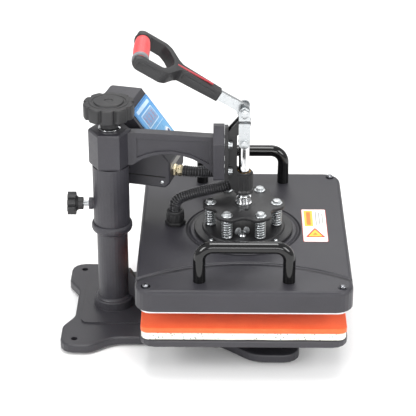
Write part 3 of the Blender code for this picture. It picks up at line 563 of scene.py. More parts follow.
# Screen-printed vinyl of the cover's label: flat inks, slightly dusty.
WHITE_INK = printed("white_label_vinyl", "e9e8e4", "f4f3f0")
ORANGE_INK = printed("orange_label_ink", "d8701f", "e5812d")
YELLOW_INK = printed("yellow_label_ink", "e9b62c", "f2c544")
RED_INK = printed("red_label_ink", "b92a22", "c7382e")
GREY_INK = printed("grey_label_ink", "9c9a95", "aaa8a3")

# Inks on the panel's film, glossier than the label's.
PALE_BLUE_INK = printed("pale_blue_ink", "b5d4ee", "c6dff3", 0.3)
DEEP_BLUE_INK = printed("deep_blue_ink", "173d78", "1f4887", 0.3)

# Smoked acrylic of the display, coloured pale blue as a painted reflection of the sky; its digits
# are unlit, drawn pale pink under the same painted reflection.
PAINTED_SKY_WINDOW = printed("display_window_painted_sky", "6f93bd", "88a8cc", 0.15)
DIGIT_RED = printed("unlit_red_digits", "b0808f", "c08c99", 0.2)

# Grey polymer collar at the near end of the grip: satin.
GREY_POLYMER = printed("grey_polymer_collar", "77787b", "85868a", 0.45)

# Openings and gaps: matt and nearly black, as shade inside them is.
DARK_SLOT = printed("dark_recess", "060606", "0c0c0c", 0.8)


# --- finishes of the parts that stay as they are ------------------------------------
KEPT = {
    POWDER_COAT: ["base_plate", "lower_platen", "platen_support"],
    CAST_COAT: ["post", "swivel_sleeve", "sleeve_collar", "arm_casting"],
    BLACK_COAT: ["toggle_bracket", "mounting_disc", "box_mount"],
    COVER_COAT: ["head_cover"],
    HOUSING_COAT: ["control_box"],
    MEMBRANE_FILM: ["control_panel"],
    MOULDED_NYLON: ["mains_inlet"],
    ZINC_PLATE: ["lever_bar", "link_near", "link_far", "fulcrum_pin", "rod_pin",
                 "lock_screw"],
    CHROME_PLATE: ["press_rod"],
    MILLED_ALUMINIUM: ["heating_platen"],
    NICKEL_BRASS: ["box_gland"],
    SINTERED_BRONZE: ["lift_nut", "rod_bush"],
    NEOPRENE: [f"rubber_foot_{k}" for k in range(1, 5)],
    MINERAL_BOARD: ["insulation_board"],
    WHITE_ACETAL: [name for name, _ in KEYS],
    RED_POLYCARBONATE: ["power_switch"],
}


def dress(nodes, surface):
    """Put one finish on every material slot of the model's own parts."""
    for name in nodes:
        target = bpy.data.objects[name]
        if not target.material_slots:
            target.data.materials.append(surface)
        for entry in target.material_slots:
            entry.material = surface


for finish, names in KEPT.items():
    dress(names, finish)


# --- hand screws --------------------------------------------------------------------
def pressure_knob():
    """A ten-lobed star knob on the column, its neck, and the screw's end with a washer."""
    low, high = COVER_TOP + 0.187, COVER_TOP + 0.209
    body = lobed(0.038, 0.0042, 10, low, high, sharp=3, edge=0.0030, segments=4)
    crown = spun([(0, high - 0.0005), (0.0300, high - 0.0005), (0.0285, high + 0.0008),
                  (0.0262, high + 0.0008), (0.0250, high - 0.0004), (0.0226, high - 0.0004),
                  (0.0216, high + 0.0020), (0.0205, high + 0.0022), (0.0070, high + 0.0022),
                  (0.0062, high + 0.0012), (0, high + 0.0012)], 64)
    neck = spun([(0.0085, low + 0.001), (0.0085, low - 0.0172), (0.0128, low - 0.0172),
                 (0.0140, low - 0.0160), (0.0140, low - 0.0050), (0.0170, low - 0.0004),
                 (0.0175, low + 0.001)], 48, ring=True)
    bm = moved(merged(body, crown, neck), COLUMN_AXIS)
    piece("star_knob_body", bm, MOULDED_NYLON, "pressure_hand_screw",
          ["pressure_knob"])
    z = COVER_TOP + 0.1673
    ring = spun([(0.0078, z), (0.0160, z), (0.0168, z + 0.0005), (0.0168, z + 0.0015),
                 (0.0160, z + 0.0020), (0.0078, z + 0.0020)], 48, ring=True)
    stem = spun([(0, 0.2055), (0.0066, 0.2055), (0.0078, 0.2070), (0.0078, z + 0.03),
                 (0, z + 0.03)], 24)
    bm = moved(merged(stem, ring), COLUMN_AXIS)
    piece("pressure_screw_washer", bm, CHROME_PLATE, "pressure_hand_screw",
          ["pressure_screw"])


def lock_knob():
    """A nine-lobed star knob behind the column, and the boss it is screwed into."""
    place = Matrix.Translation((COLUMN_X, 0, LOCK_Z)) @ TO_X @ Matrix.Rotation(math.pi, 4, "Y")
    body = lobed(0.0175, 0.0036, 9, 0.0535, 0.0662, sharp=2, edge=0.0014, per_lobe=14)
    hub = spun([(0, 0.0425), (0.0088, 0.0425), (0.0094, 0.0432), (0.0098, 0.0500),
                (0.0130, 0.0536), (0, 0.0545)], 32)
    cap = spun([(0, 0.0655), (0.0078, 0.0655), (0.0074, 0.0668), (0.0050, 0.0674),
                (0, 0.0676)], 32)
    # The outer end keeps inside the model's own knob.
    bm = merged(body, hub, cap)
    for vert in bm.verts:
        vert.co.z = min(vert.co.z, 0.0660)
    piece("lock_star_knob", moved(bm, place), MOULDED_NYLON, "lock_hand_screw",
          ["lock_knob"])
    boss = moved(spun([(0.0046, 0.0285), (0.0092, 0.0285), (0.0092, 0.0335), (0.0086, 0.0341),
                       (0.0046, 0.0341)], 32, ring=True), place)
    piece("lock_boss_ring", boss, CAST_COAT, "arm")


# --- toggle -------------------------------------------------------------------------
def toggle_hardware():
    """The bolts and clips that hold lever, links, rod and bracket together."""
    shank = spun([(0, -0.0216), (0.0039, -0.0216), (0.0039, 0.0216), (0, 0.0216)], 16)
    ends = [moved(hexagon(0.0125, 0.0174, 0.0213, 0.0006), turn)
            for turn in (Matrix.Identity(4), FLIPPED)]
    bolt = moved(merged(shank, *ends), Matrix.Translation(LINK_TOP) @ TO_Y)
    piece("link_top_bolt", bolt, ZINC_PLATE, "lever", ["link_bolt"])
    for name, end, side, turn in (("far", "nut", 1, TO_Y), ("near", "head", -1, UPRIGHT)):
        # The rod bolt's head and nut turn with the straps they are tightened on.
        nut = merged(hexagon(0.0104, 0.0172, 0.0202, 0.0005),
                     spun([(0, 0.0168), (0.0057, 0.0168), (0.0057, 0.0173), (0, 0.0174)], 24))
        piece(f"rod_bolt_{end}", moved(nut, Matrix.Translation(LINK_FOOT) @ turn), ZINC_PLATE,
              "links")
        ring = spun([(0, 0.0101), (0.0062, 0.0101), (0.0062, 0.0108), (0.0044, 0.0108),
                     (0.0044, 0.0114), (0.0030, 0.0119), (0, 0.0120)], 24)
        piece(f"fulcrum_clip_{name}", moved(ring, Matrix.Translation(FULCRUM) @ turn),
              ZINC_PLATE, "arm")
        for number, z in enumerate((0.104, 0.147), 1):
            bolt = merged(
                hexagon(0.0100, 0.0012, 0.0060, 0.0006),
                spun([(0, 0.0001), (0.0062, 0.0001), (0.0062, 0.0011), (0, 0.0013)], 24),
                spun([(0, -0.0150), (0.0028, -0.0150), (0.0028, 0.002), (0, 0.002)], 12))
            place = Matrix.Translation(at(-0.0235, 0.0150 * side, z)) @ TO_X
            piece(f"bracket_bolt_{name}_{number}", moved(bolt, place), ZINC_PLATE, "arm")


def rod_fittings():
    """The rod's flanged and knurled collar, and its grooved guide under the bracket."""
    z = COVER_TOP
    ring = [(0.0082, z + 0.0446), (0.0120, z + 0.0446), (0.0124, z + 0.0451),
            (0.0124, z + 0.0463), (0.0104, z + 0.0470), (0.0100, z + 0.0478)]
    for k in range(4):
        level = z + 0.0480 + 0.0016 * k
        ring += [(0.0106, level + 0.0003), (0.0106, level + 0.0010), (0.0099, level + 0.0014)]
    ring += [(0.0112, z + 0.0548), (0.0116, z + 0.0553), (0.0116, z + 0.0562),
             (0.0110, z + 0.0566), (0.0082, z + 0.0566)]
    bm = moved(spun(ring, 48, ring=True), HEAD_AXIS)
    piece("rod_flanged_collar", bm, CHROME_PLATE, "head", ["rod_collar"])
    guide = spun([(0.0104, z + 0.0630), (0.0136, z + 0.0630), (0.0142, z + 0.0638),
                  (0.0142, z + 0.0665), (0.0134, z + 0.0675), (0.0128, z + 0.0700),
                  (0.0104, z + 0.0700)], 40, ring=True)
    piece("rod_guide_lip", moved(guide, HEAD_AXIS), BLACK_COAT, "arm")
    grooved = disc(0.0140, 216, filled=False)
    for vert in grooved.verts:
        turn = math.atan2(vert.co.y, vert.co.x)
        vert.co *= 1 - 0.045 * max(0.0, math.cos(turn * 36))
        vert.co.z = z + 0.0705
    extruded(grooved, grooved.edges[:], (0, 0, 0.0245))
    bmesh.ops.recalc_face_normals(grooved, faces=grooved.faces)
    bmesh.ops.solidify(grooved, geom=grooved.faces[:], thickness=0.0006)
    piece("rod_guide_grooves", moved(grooved, HEAD_AXIS), BLACK_COAT, "arm")


# --- suspension ---------------------------------------------------------------------
def pressure_plate():
    """A disc with six round bites between its bolts."""
    bm = disc(0.0565, 144)
    for vert in bm.verts:
        turn = math.atan2(vert.co.y, vert.co.x)
        off = (turn + math.pi / 3) % (math.pi / 3) - math.pi / 6
        reach, across = 0.0620, 0.0660 * math.sin(off)
        if abs(across) < 0.0170:
            bite = 0.0660 * math.cos(off) - math.sqrt(0.0170 ** 2 - across ** 2)
            reach = min(reach, bite)
        vert.co *= reach / 0.0565
        vert.co.z = PLATE_LOW
    for _ in range(5):
        bmesh.ops.smooth_vert(bm, verts=bm.verts[:], factor=0.5, use_axis_x=True,
                              use_axis_y=True)
    risen(bm, PLATE_TOP - PLATE_LOW)
    softened(bm, rims(bm, [PLATE_LOW, PLATE_TOP]), 0.0009, 3)
    top = PLATE_TOP
    boss = spun([(0.0100, top - 0.0006), (0.0178, top - 0.0006), (0.0172, top + 0.0003),
                 (0.0135, top + 0.0006), (0.0124, top + 0.0004), (0.0100, top + 0.0004)],
                48, ring=True)
    piece("scalloped_plate", moved(merged(bm, boss), HEAD_AXIS), BLACK_COAT, "head",
          ["pressure_plate"])
    for number, (x, y) in enumerate(((0.004, -0.0235), (-0.004, 0.0235)), 1):
        hole = spun([(0, 0.0002), (0.0016, 0.0002), (0.0020, 0.0005), (0.0027, 0.0004),
                     (0.0030, -0.0006), (0, -0.0006)], 20)
        piece(f"plate_hole_{number}", moved(hole, at(x, y, PLATE_TOP - COVER_TOP)), DARK_SLOT,
              "head")


def springs_and_bolts():
    """Six coil springs between disc and plate, each round its flange bolt."""
    for k in range(6):
        turn = math.tau * k / 6
        x, y = SPRING_CIRCLE * math.cos(turn), SPRING_CIRCLE * math.sin(turn)
        spot = Vector((HEAD_X + x, y, 0))
        low, high = DISC_TOP + 0.0004, PLATE_LOW - 0.0004
        wire = 0.0013
        spring = coil(0.0071, wire, low + wire, high - wire, 6.3, 24, 8, start=turn)
        ends = [coil(0.0071, wire, level, level + wire * 2 + 0.0003, 1.0, 22, 8, start=turn)
                for level in (low, high - wire * 2 - 0.0003)]
        piece(f"coil_spring_{k + 1}", moved(merged(spring, *ends), spot), ZINC_PLATE, "head",
              [f"spring_{k + 1}"], angle=60,
              between=("platen", (spot.x, spot.y, high), (spot.x, spot.y, low)))
        top = PLATE_TOP + 0.0003
        flange = spun([(0, top), (0.0086, top), (0.0088, top + 0.0003), (0.0084, top + 0.0009),
                       (0.0062, top + 0.0016), (0, top + 0.0016)], 32)
        crown = spun([(0, top + 0.004), (0.0048, top + 0.0046), (0.0044, top + 0.0050),
                      (0.0036, top + 0.0048), (0, top + 0.0047)], 24)
        head = moved(hexagon(0.0112, top + 0.0010, top + 0.0049, 0.0006),
                     Matrix.Rotation(turn * 1.7 + 0.3, 4, "Z"))
        shank = spun([(0, COVER_TOP + 0.0020), (0.0037, COVER_TOP + 0.0020), (0.0037, top + 0.001),
                      (0, top + 0.001)], 16)
        bm = moved(merged(flange, crown, head, shank), spot)
        piece(f"flange_bolt_{k + 1}", bm, ZINC_PLATE, "platen", [f"spring_bolt_{k + 1}"])


def disc_fittings():
    """Four screws and a wing screw on the mounting disc."""
    for number, degrees in enumerate((45, 135, 225, 315), 1):
        turn = math.radians(degrees)
        spot = at(0.0685 * math.cos(turn), 0.0685 * math.sin(turn), 0.0051)
        screw = crossed(dome(0.0034, 0.0, 0.0021, 24), (0, 0, 0.0021), 0.0019, 0.0004)
        piece(f"disc_screw_{number}", moved(screw, spot), ZINC_PLATE, "platen")
    # A wing screw stands in the disc on the near side; it clamps the thermostat's lead.
    bm = spun([(0, 0.0), (0.0042, 0.0), (0.0044, 0.0012), (0.0030, 0.0030), (0.0034, 0.0058),
               (0.0020, 0.0066), (0, 0.0068)], 24)
    for side in (1, -1):
        wing = disc(0.0037, 18)
        bmesh.ops.scale(wing, vec=(0.95, 1.35, 1), verts=wing.verts)
        risen(wing, 0.0014)
        softened(wing, rims(wing, [0.0, 0.0014]), 0.0004, 2)
        moved(wing, Matrix.Translation((0.0052 * side, 0, 0.0072))
              @ Matrix.Rotation(-0.35 * side, 4, "Y") @ UPRIGHT
              @ Matrix.Translation((0, 0, -0.0007)))
        bm = merged(bm, wing)
    moved(bm, Matrix.Translation(at(-0.002, -0.040, DISC_TOP - COVER_TOP))
          @ Matrix.Rotation(0.25, 4, "Z") @ Matrix.Scale(1.30, 4))
    piece("wing_screw", bm, ZINC_PLATE, "platen")


def cover_fittings():
    """A dome nut on a washer at each corner of the cover."""
    for number, (sx, sy) in enumerate(((1, 1), (1, -1), (-1, -1), (-1, 1)), 1):
        spot = at(0.141 * sx, 0.180 * sy, 0)
        ring = spun([(0, 0.0), (0.0068, 0.0), (0.0070, 0.0003), (0.0066, 0.0007), (0, 0.0007)], 32)
        piece(f"cover_washer_{number}", moved(ring, spot), BLACKENED_STEEL, "platen")
        # The domes' grey is a painted reflection of the dark cover.
        piece(f"cover_screw_{number}", moved(dome(0.0048, 0.0008, 0.0042, 32), spot),
              DOME_PAINTED_REFLECTION, "platen")


def handles():
    """Bent tubes: half a leg and a quarter bend are spun and drawn out, then mirrored."""
    bend, reach, rise, foot = 0.020, 0.0645, 0.055, 0.0002
    for name, side in SIDES:
        bm = moved(disc(0.0090, 40, foot), Vector((-reach, 0, 0)))
        leg = extruded(bm, bm.edges[:], (0, 0, rise - bend - foot))
        elbow = bmesh.ops.spin(bm, geom=only(leg, VERT) + only(leg, EDGE),
                               cent=(bend - reach, 0, rise - bend), axis=(0, 1, 0),
                               angle=math.pi / 2, steps=14)["geom_last"]
        extruded(bm, only(elbow, EDGE), (reach - bend, 0, 0))
        bmesh.ops.mirror(bm, geom=bm.verts[:] + bm.edges[:] + bm.faces[:], axis="X",
                         merge_dist=1e-5)
        piece(f"carrying_handle_{name}", moved(bm, at(0, 0.163 * side, 0)), DIPPED_ENAMEL,
              "platen", [f"handle_{name}"], angle=50)


def cover_label():
    """A plain warning field without letters: a border, a coloured bar and a triangle."""
    def field(name, size, centre, level, surface, radius=0.0008):
        bm = slab(size, radius, level, level + 0.00008, corner_steps=3)
        piece(name, moved(bm, at(centre[0], centre[1], 0)), surface, "platen")

    cx, cy, width, length = 0.109, 0.0115, 0.0380, 0.1070
    field("label_edge", (width, length), (cx, cy), 0.00005, RED_INK, 0.003)
    field("label_ground", (width - 0.0016, length - 0.0016), (cx, cy), 0.00014, WHITE_INK, 0.002)
    field("label_bar", (0.0130, 0.0520), (cx - 0.0085, cy + 0.0225), 0.00023, YELLOW_INK)
    field("label_bar_rule", (0.0060, 0.0420), (cx - 0.0085, cy + 0.0225), 0.00032, ORANGE_INK,
          0.0010)
    for k in range(3):
        field(f"label_line_{k + 1}", (0.0018, 0.0440 - 0.0060 * k),
              (cx + 0.0030 + 0.0050 * k, cy + 0.0230), 0.00023, GREY_INK, 0.0002)
    for name, radius, level, surface in (("label_triangle", 0.0205, 0.00032, RED_INK),
                                         ("label_triangle_field", 0.0150, 0.00041, YELLOW_INK),
                                         ("label_triangle_mark", 0.0050, 0.00050, ORANGE_INK)):
        bm = disc(radius, 3)
        bmesh.ops.bevel(bm, geom=bm.verts[:], offset=radius * 0.14, segments=4, profile=0.5,
                        affect="VERTICES", material=-1)
        bmesh.ops.scale(bm, vec=(0.85, 1.0, 1), verts=bm.verts)
        moved(bm, Vector((0, 0, level)))
        risen(bm, 0.00008)
        piece(name, moved(bm, at(cx, cy - 0.0290, 0)), surface, "platen")


# --- lever handle -------------------------------------------------------------------
def handle_details():
    """The red inlay, and the panels let into the sides of stem and fork."""
    # The inlay lies in the stem's top, from the fork to the zinc bar.
    inlay = slab((0.0600, 0.0060), 0.0020, 0.0, 0.0016, edge=0.0004, segments=2)
    lift = Matrix.Rotation(math.radians(-1.2), 4, "Y")
    moved(inlay, LEVER_FRAME @ Matrix.Translation((-0.0900, 0, 0.0086)) @ lift)
    piece("stem_inlay", inlay, RED_VINYL, "lever")
    for name, side in SIDES:
        for part, size, radius, rise, along, across, surface in (
                ("stem", (0.0560, 0.0080), 0.0024, 0.0009, 0.0790, 0.01035, MOULDED_NYLON),
                ("fork", (0.0370, 0.0105), 0.0050, 0.0008, 0.1610, 0.0547, GLOSS_NYLON)):
            panel = slab(size, radius, 0.0, rise, edge=0.0003, segments=2)
            place = (LEVER_FRAME @ Matrix.Translation((-along, across * side, 0))
                     @ Matrix.Rotation(-math.pi / 2 * side, 4, "X"))
            piece(f"{part}_panel_{name}", moved(panel, place), surface, "lever")


def fork_handle():
    """The moulded stem and fork: drawn flat, its corners and rims well rounded, then tilted."""
    plan = [(0.044, 0.0100), (0.111, 0.0105), (0.118, 0.020), (0.131, 0.047),
            (0.140, 0.0545), (0.1855, 0.0548), (0.1868, 0.0500), (0.1868, 0.0432),
            (0.176, 0.0430), (0.143, 0.0420), (0.134, 0.030), (0.126, 0.008)]
    bm = bmesh.new()
    bm.faces.new([bm.verts.new((-along, across, -0.0095)) for along, across in plan]
                 + [bm.verts.new((-along, -across, -0.0095)) for along, across in reversed(plan)])
    risen(bm, 0.0190)
    uprights = [e for e in bm.edges if abs(e.verts[0].co.z - e.verts[1].co.z) > 0.01]
    softened(bm, uprights, 0.0040, 4)
    for x in (-0.176, -0.1785, -0.181, -0.1835, -0.1855):
        cut_across(bm, (x, 0, 0), (1, 0, 0))
    softened(bm, rims(bm, [-0.0095, 0.0095]), 0.0024, 4)
    for vert in bm.verts:
        thin = min(1.0, max(0.0, (vert.co.x + 0.110) / 0.060))
        end = min(1.0, max(0.0, (-0.1760 - vert.co.x) / 0.0108))
        vert.co.z *= (1 - 0.20 * thin) * (1 - 0.55 * end * end)
    piece("fork_handle", moved(bm, LEVER_FRAME), MOULDED_NYLON, "lever",
          ["lever_handle"], angle=40)


def grip():
    """A ribbed, slightly bellied sleeve between two collars."""
    profile = [(0, -0.0412), (0.0082, -0.0412), (0.0092, -0.0404)]
    steps = 56
    for k in range(steps + 1):
        y = -0.0398 + 0.0796 * k / steps
        belly = 0.0106 + 0.0014 * math.cos(y / 0.0398 * math.pi / 2)
        rib = 0.00022 * (1 if k % 2 else -1) if abs(y) < 0.030 else 0.0
        profile.append((belly + rib - (0.0008 if abs(y) > 0.0385 else 0), y))
    profile += [(0.0092, 0.0404), (0.0082, 0.0412), (0, 0.0412)]
    bm = spun(profile, 56)
    place = LEVER_FRAME @ Matrix.Translation((-GRIP_ALONG, 0, 0)) @ TO_Y
    piece("grip_sleeve", moved(bm, place), RUBBER_SLEEVE, "lever", ["red_grip"],
          angle=50)
    for name, side in SIDES:
        ring = spun([(0.0090, 0.0340), (0.01225, 0.0340), (0.01265, 0.0346), (0.01265, 0.0398),
                     (0.01205, 0.0405), (0.0090, 0.0405)], 48, ring=True)
        turn = Matrix.Identity(4) if side > 0 else FLIPPED
        piece(f"grip_collar_{name}", moved(ring, place @ turn),
              GREY_POLYMER if side < 0 else MOULDED_NYLON, "lever")


# --- bed: mat and felt ---------------------------------------------------------------
def pad(name, node, radius, edge, surface, sag, seed, cuts):
    """A soft sheet with rounded rims whose sides wander a little, as cut foam does."""
    low, high = (Vector(corner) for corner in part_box(node))
    size = high - low
    bm = slab((size.x - sag * 2, size.y - sag * 2), radius, 0.0, size.z, edge=edge, segments=4,
              corner_steps=8)
    for axis in (0, 1):
        for k in range(1, cuts):
            spot, way = [0, 0, 0], [0, 0, 0]
            spot[axis], way[axis] = -size[axis] / 2 + size[axis] * k / cuts, 1
            cut_across(bm, spot, way)
    for vert in bm.verts:
        x, y = vert.co.x, vert.co.y
        wander = (math.sin(x * 71 + seed) + math.sin(y * 53 + seed * 2.1)
                  + math.sin((x + y) * 97 + seed * 3.7)) / 3
        out = Vector((x, y, 0)).normalized() if x or y else Vector()
        if abs(x) > size.x / 2 - 0.012 or abs(y) > size.y / 2 - 0.012:
            vert.co += out * wander * sag * 0.7
    moved(bm, Vector(((low.x + high.x) / 2, (low.y + high.y) / 2, low.z)))
    made = piece(name, bm, surface, "base", [node], angle=50)
    return made


def bed():
    pad("foam_mat", "silicone_mat", 0.010, 0.0016, SILICONE_FOAM, 0.0004, 1.3, 24)
    pad("felt_sheet", "felt_pad", 0.012, 0.0010, PRESSED_FELT, 0.0007, 4.1, 40)


# --- control box ---------------------------------------------------------------------
def on_panel(bm, down, across, out=0.0):
    """Put a flat part on the slanted panel, its X down the slope."""
    place = PANEL_FRAME @ Matrix.Translation((down, across, 0.0012 + out))
    return moved(bm, place)


def panel_details():
    """Borders, display and keys of the slanted panel, without any lettering."""
    def field(name, size, down, across, surface, out=0.00003, radius=0.0010, height=0.00010):
        bm = slab(size, radius, 0.0, height, corner_steps=4)
        piece(name, on_panel(bm, down, across, out), surface, "arm")

    half = BOX_WIDTH / 2
    field("panel_border", (PANEL_LENGTH - 0.0110, BOX_WIDTH - 0.0100), PANEL_LENGTH / 2, half,
          DEEP_BLUE_INK, 0.00003, 0.0030)
    field("panel_ground", (PANEL_LENGTH - 0.0126, BOX_WIDTH - 0.0116), PANEL_LENGTH / 2, half,
          MEMBRANE_FILM, 0.00012, 0.0024)
    window = slab((0.0205, 0.0440), 0.0012, 0.0, 0.0006, edge=0.0002, segments=2)
    # The window's pale blue is a painted reflection of the sky.
    piece("display_window", on_panel(window, DISPLAY_DOWN, half, 0.0002), PAINTED_SKY_WINDOW, "arm")
    rim = slab((0.0240, 0.0475), 0.0020, 0.0, 0.0004, edge=0.0001, segments=1)
    piece("display_frame", on_panel(rim, DISPLAY_DOWN, half, 0.0001), PALE_BLUE_INK, "arm")
    # Four unlit digits of seven bars, lying down: each half's two uprights share one line.
    flat, upright = (0.0009, 0.0050), (0.0046, 0.0009)
    bars = ((-0.0056, flat), (0, flat), (0.0056, flat), (-0.0028, upright), (-0.0028, upright),
            (0.0028, upright), (0.0028, upright))
    for number, across in enumerate((0.0205, 0.0315, 0.0425, 0.0535), 1):
        for k, (down, size) in enumerate(bars, 1):
            bar = on_panel(slab(size, 0.0, 0.0, 0.00008), DISPLAY_DOWN + down, across, 0.00084)
            piece(f"display_bar_{number}_{k}", bar, DIGIT_RED, "arm")
    field("panel_band", (0.0060, 0.0560), 0.0130, half, PALE_BLUE_INK, 0.00024, 0.0015)
    field("panel_rule", (0.0010, 0.0600), 0.0500, half, PALE_BLUE_INK, 0.00024, 0.0003)
    for name, across in KEYS:
        ring = spun([(0.00625, 0.00005), (0.0082, 0.00005), (0.0082, 0.0004), (0.0075, 0.0008),
                     (0.0066, 0.0006), (0.00625, 0.0003)], 40, ring=True)
        piece(f"key_ring_{name[7:]}", on_panel(ring, KEY_DOWN, across, 0.00015), PALE_BLUE_INK,
              "arm")
        cap = spun([(0, 0.0), (0.0034, 0.0), (0.0032, 0.00012), (0, 0.00012)], 32)
        rise = 0.0034 + 0.00003 - 0.0012
        piece(f"key_dot_{name[7:]}", on_panel(cap, KEY_DOWN, across, rise), DEEP_BLUE_INK,
              f"{name[7:]}_button")


def on_box(x, y, z, turn):
    """A place on the control box: x from its front, z from the cover's level."""
    return BOX_FRAME @ Matrix.Translation((x, y, COVER_TOP + z)) @ turn


def box_details():
    # Both sides are alike: five louvres, three screws and the seam of the lid.
    for side, y, out in (("near", 0.0, -1), ("far", BOX_WIDTH, 1)):
        turn = Matrix.Rotation(-math.pi / 2 * out, 4, "X")
        for k in range(5):
            louvre = slab((0.0018, 0.0150), 0.0008, 0.0, 0.0004, corner_steps=3)
            place = on_box(-0.0520 + 0.0042 * k, y + 0.00002 * out, 0.1150, turn)
            piece(f"louvre_{side}_{k + 1}", moved(louvre, place), DARK_SLOT, "arm")
        for number, (x, z) in enumerate(((-0.110, 0.175), (-0.110, 0.067), (-0.014, 0.067)), 1):
            screw = crossed(dome(0.0030, 0.0, 0.0015, 24), (0, 0, 0.0015), 0.0017, 0.0004)
            piece(f"box_screw_{side}_{number}", moved(screw, on_box(x, y, z, turn)), ZINC_PLATE,
                  "arm")
        seam = slab((0.1020, 0.0016), 0.0006, 0.0, 0.0005, corner_steps=2)
        piece(f"box_seam_{side}", moved(seam, on_box(-0.0600, y, 0.0760, turn)), DARK_SLOT, "arm")
    # Pale printed strip across the front lip.
    strip = slab((0.0095, BOX_WIDTH - 0.012), 0.0010, 0.0, 0.00025, corner_steps=3)
    piece("front_strip", moved(strip, on_box(-0.0020, BOX_WIDTH / 2, 0.0905, TO_X)), GREY_INK,
          "arm")
    # Rear: a bezel round the rocker and a nut on the mains inlet.
    back = Matrix.Rotation(-math.pi / 2, 4, "Y")
    bars = [moved(slab(size, 0.0010, 0.0, 0.0014, edge=0.0004, segments=2), spot)
            for size, spot in (((0.0030, 0.0250), (0.0088, 0, 0)),
                               ((0.0030, 0.0250), (-0.0088, 0, 0)),
                               ((0.0190, 0.0030), (0, 0.0116, 0)),
                               ((0.0190, 0.0030), (0, -0.0116, 0)))]
    piece("rocker_bezel", moved(merged(*bars), on_box(-BOX_LENGTH, 0.024, 0.085, back)),
          MOULDED_NYLON, "arm")
    nut = spun([(0.0112, 0.0002), (0.0134, 0.0002), (0.0138, 0.0006), (0.0138, 0.0026),
                (0.0130, 0.0032), (0.0112, 0.0032)], 6, ring=True)
    piece("inlet_nut", moved(nut, on_box(-BOX_LENGTH, 0.056, 0.085, back)), MOULDED_NYLON, "arm")
    nut = spun([(0.0068, 0.0004), (0.0100, 0.0004), (0.0100, 0.0046), (0.0092, 0.0052),
                (0.0068, 0.0052)], 6, ring=True)
    piece("gland_nut", moved(nut, on_box(*BOX_GLAND, TO_X)), NICKEL_BRASS, "arm")


# --- conduit -------------------------------------------------------------------------
def before_gland(length):
    """A place straight out of the box gland."""
    x, y, z = BOX_GLAND
    return BOX_FRAME @ Vector((x + length, y, COVER_TOP + z))


CONDUIT_EXIT = before_gland(0.0154)
CONDUIT_WAY = [CONDUIT_EXIT, before_gland(0.024)] + [
    at(*p) for p in ((-0.070, 0.0335, 0.0795), (-0.057, 0.0385, 0.0775), (-0.044, 0.0460, 0.0745),
                     (-0.0310, 0.0495, 0.0712), (-0.0204, 0.0451, 0.0685),
                     (-0.0160, 0.0345, 0.0660), (-0.0204, 0.0242, 0.0638),
                     (-0.0325, 0.0198, 0.0612), (-0.048, 0.0180, 0.0580),
                     (-0.066, 0.0170, 0.0540), (-0.083, 0.0160, 0.0490),
                     (-0.097, 0.0160, 0.0435), (-0.1035, 0.0160, 0.0355),
                     (*COVER_GLAND, 0.0300), (*COVER_GLAND, 0.0180))]


def even_path(points, step):
    """A smooth line through points, read at even steps."""
    fine = []
    chain = [points[0] * 2 - points[1]] + points + [points[-1] * 2 - points[-2]]
    for a, b, c, d in zip(chain, chain[1:], chain[2:], chain[3:]):
        for k in range(24):
            t = k / 24
            fine.append(0.5 * (2 * b + (c - a) * t + (2 * a - 5 * b + 4 * c - d) * t * t
                               + (3 * b - a - 3 * c + d) * t ** 3))
    fine.append(points[-1])
    whole = sum((b - a).length for a, b in zip(fine, fine[1:]))
    count = max(2, round(whole / step))
    path, run, want = [fine[0]], 0.0, whole / count
    for a, b in zip(fine, fine[1:]):
        run += (b - a).length
        while run >= want * len(path) and len(path) < count:
            path.append(a.lerp(b, 1 - (run - want * len(path)) / (b - a).length))
    path.append(fine[-1])
    return path, whole


def conduit():
    """Corrugated polyamide conduit on a tube 18 mm across. Its rings, 2.5 mm apart on the
    real one, are drawn 3.4 mm apart so that they show."""
    path, _ = even_path(CONDUIT_WAY, 0.0017)
    core = bpy.data.curves.new("conduit_core", "CURVE")
    core.dimensions = "3D"
    core.bevel_depth = 0.0074
    core.bevel_resolution = 6
    core.use_fill_caps = True
    spline = core.splines.new("POLY")
    spline.points.add(len(path) - 1)
    for entry, point in zip(spline.points, path):
        entry.co = (*point, 1.0)
    line = bpy.data.objects.new("conduit_core", core)
    bpy.context.scene.collection.objects.link(line)
    mesh = bpy.data.meshes.new_from_object(line)
    bpy.data.objects.remove(line)
    bm = bmesh.new()
    bm.from_mesh(mesh)
    bpy.data.meshes.remove(mesh)
    # One round ring, set square to the line at every second point.
    hoop = moved(disc(0.00095, 8, filled=False), Matrix.Translation((0.00805, 0, 0)) @ UPRIGHT)
    bmesh.ops.spin(hoop, geom=hoop.verts[:] + hoop.edges[:], cent=(0, 0, 0), axis=(0, 0, 1),
                   angle=math.tau, steps=36, use_merge=True)
    ring = bpy.data.meshes.new("conduit_ring")
    hoop.to_mesh(ring)
    hoop.free()
    rings = bmesh.new()
    for before, here, after in list(zip(path, path[1:], path[2:]))[::2]:
        start = len(rings.verts)
        rings.from_mesh(ring)
        rings.verts.ensure_lookup_table()
        place = (Matrix.Translation(here)
                 @ (after - before).to_track_quat("Z", "Y").to_matrix().to_4x4())
        bmesh.ops.transform(rings, matrix=place, verts=rings.verts[start:])
    bpy.data.meshes.remove(ring)
    bridge = ("head", tuple(path[len(path) // 8]), tuple(path[-4]))
    # The rings' grey is a painted highlight on their tops.
    hoops = piece("conduit_rings", rings, RINGS_PAINTED_HIGHLIGHT, "arm", angle=60,
                  between=bridge)
    # The core between the rings takes the near-black recess finish: painted shade in the conduit's
    # grooves.
    made = piece("corrugated_conduit", bm, DARK_SLOT, "arm", ["conduit"],
                 angle=60, between=bridge)
    coarse, length = even_path(CONDUIT_WAY, 0.004)


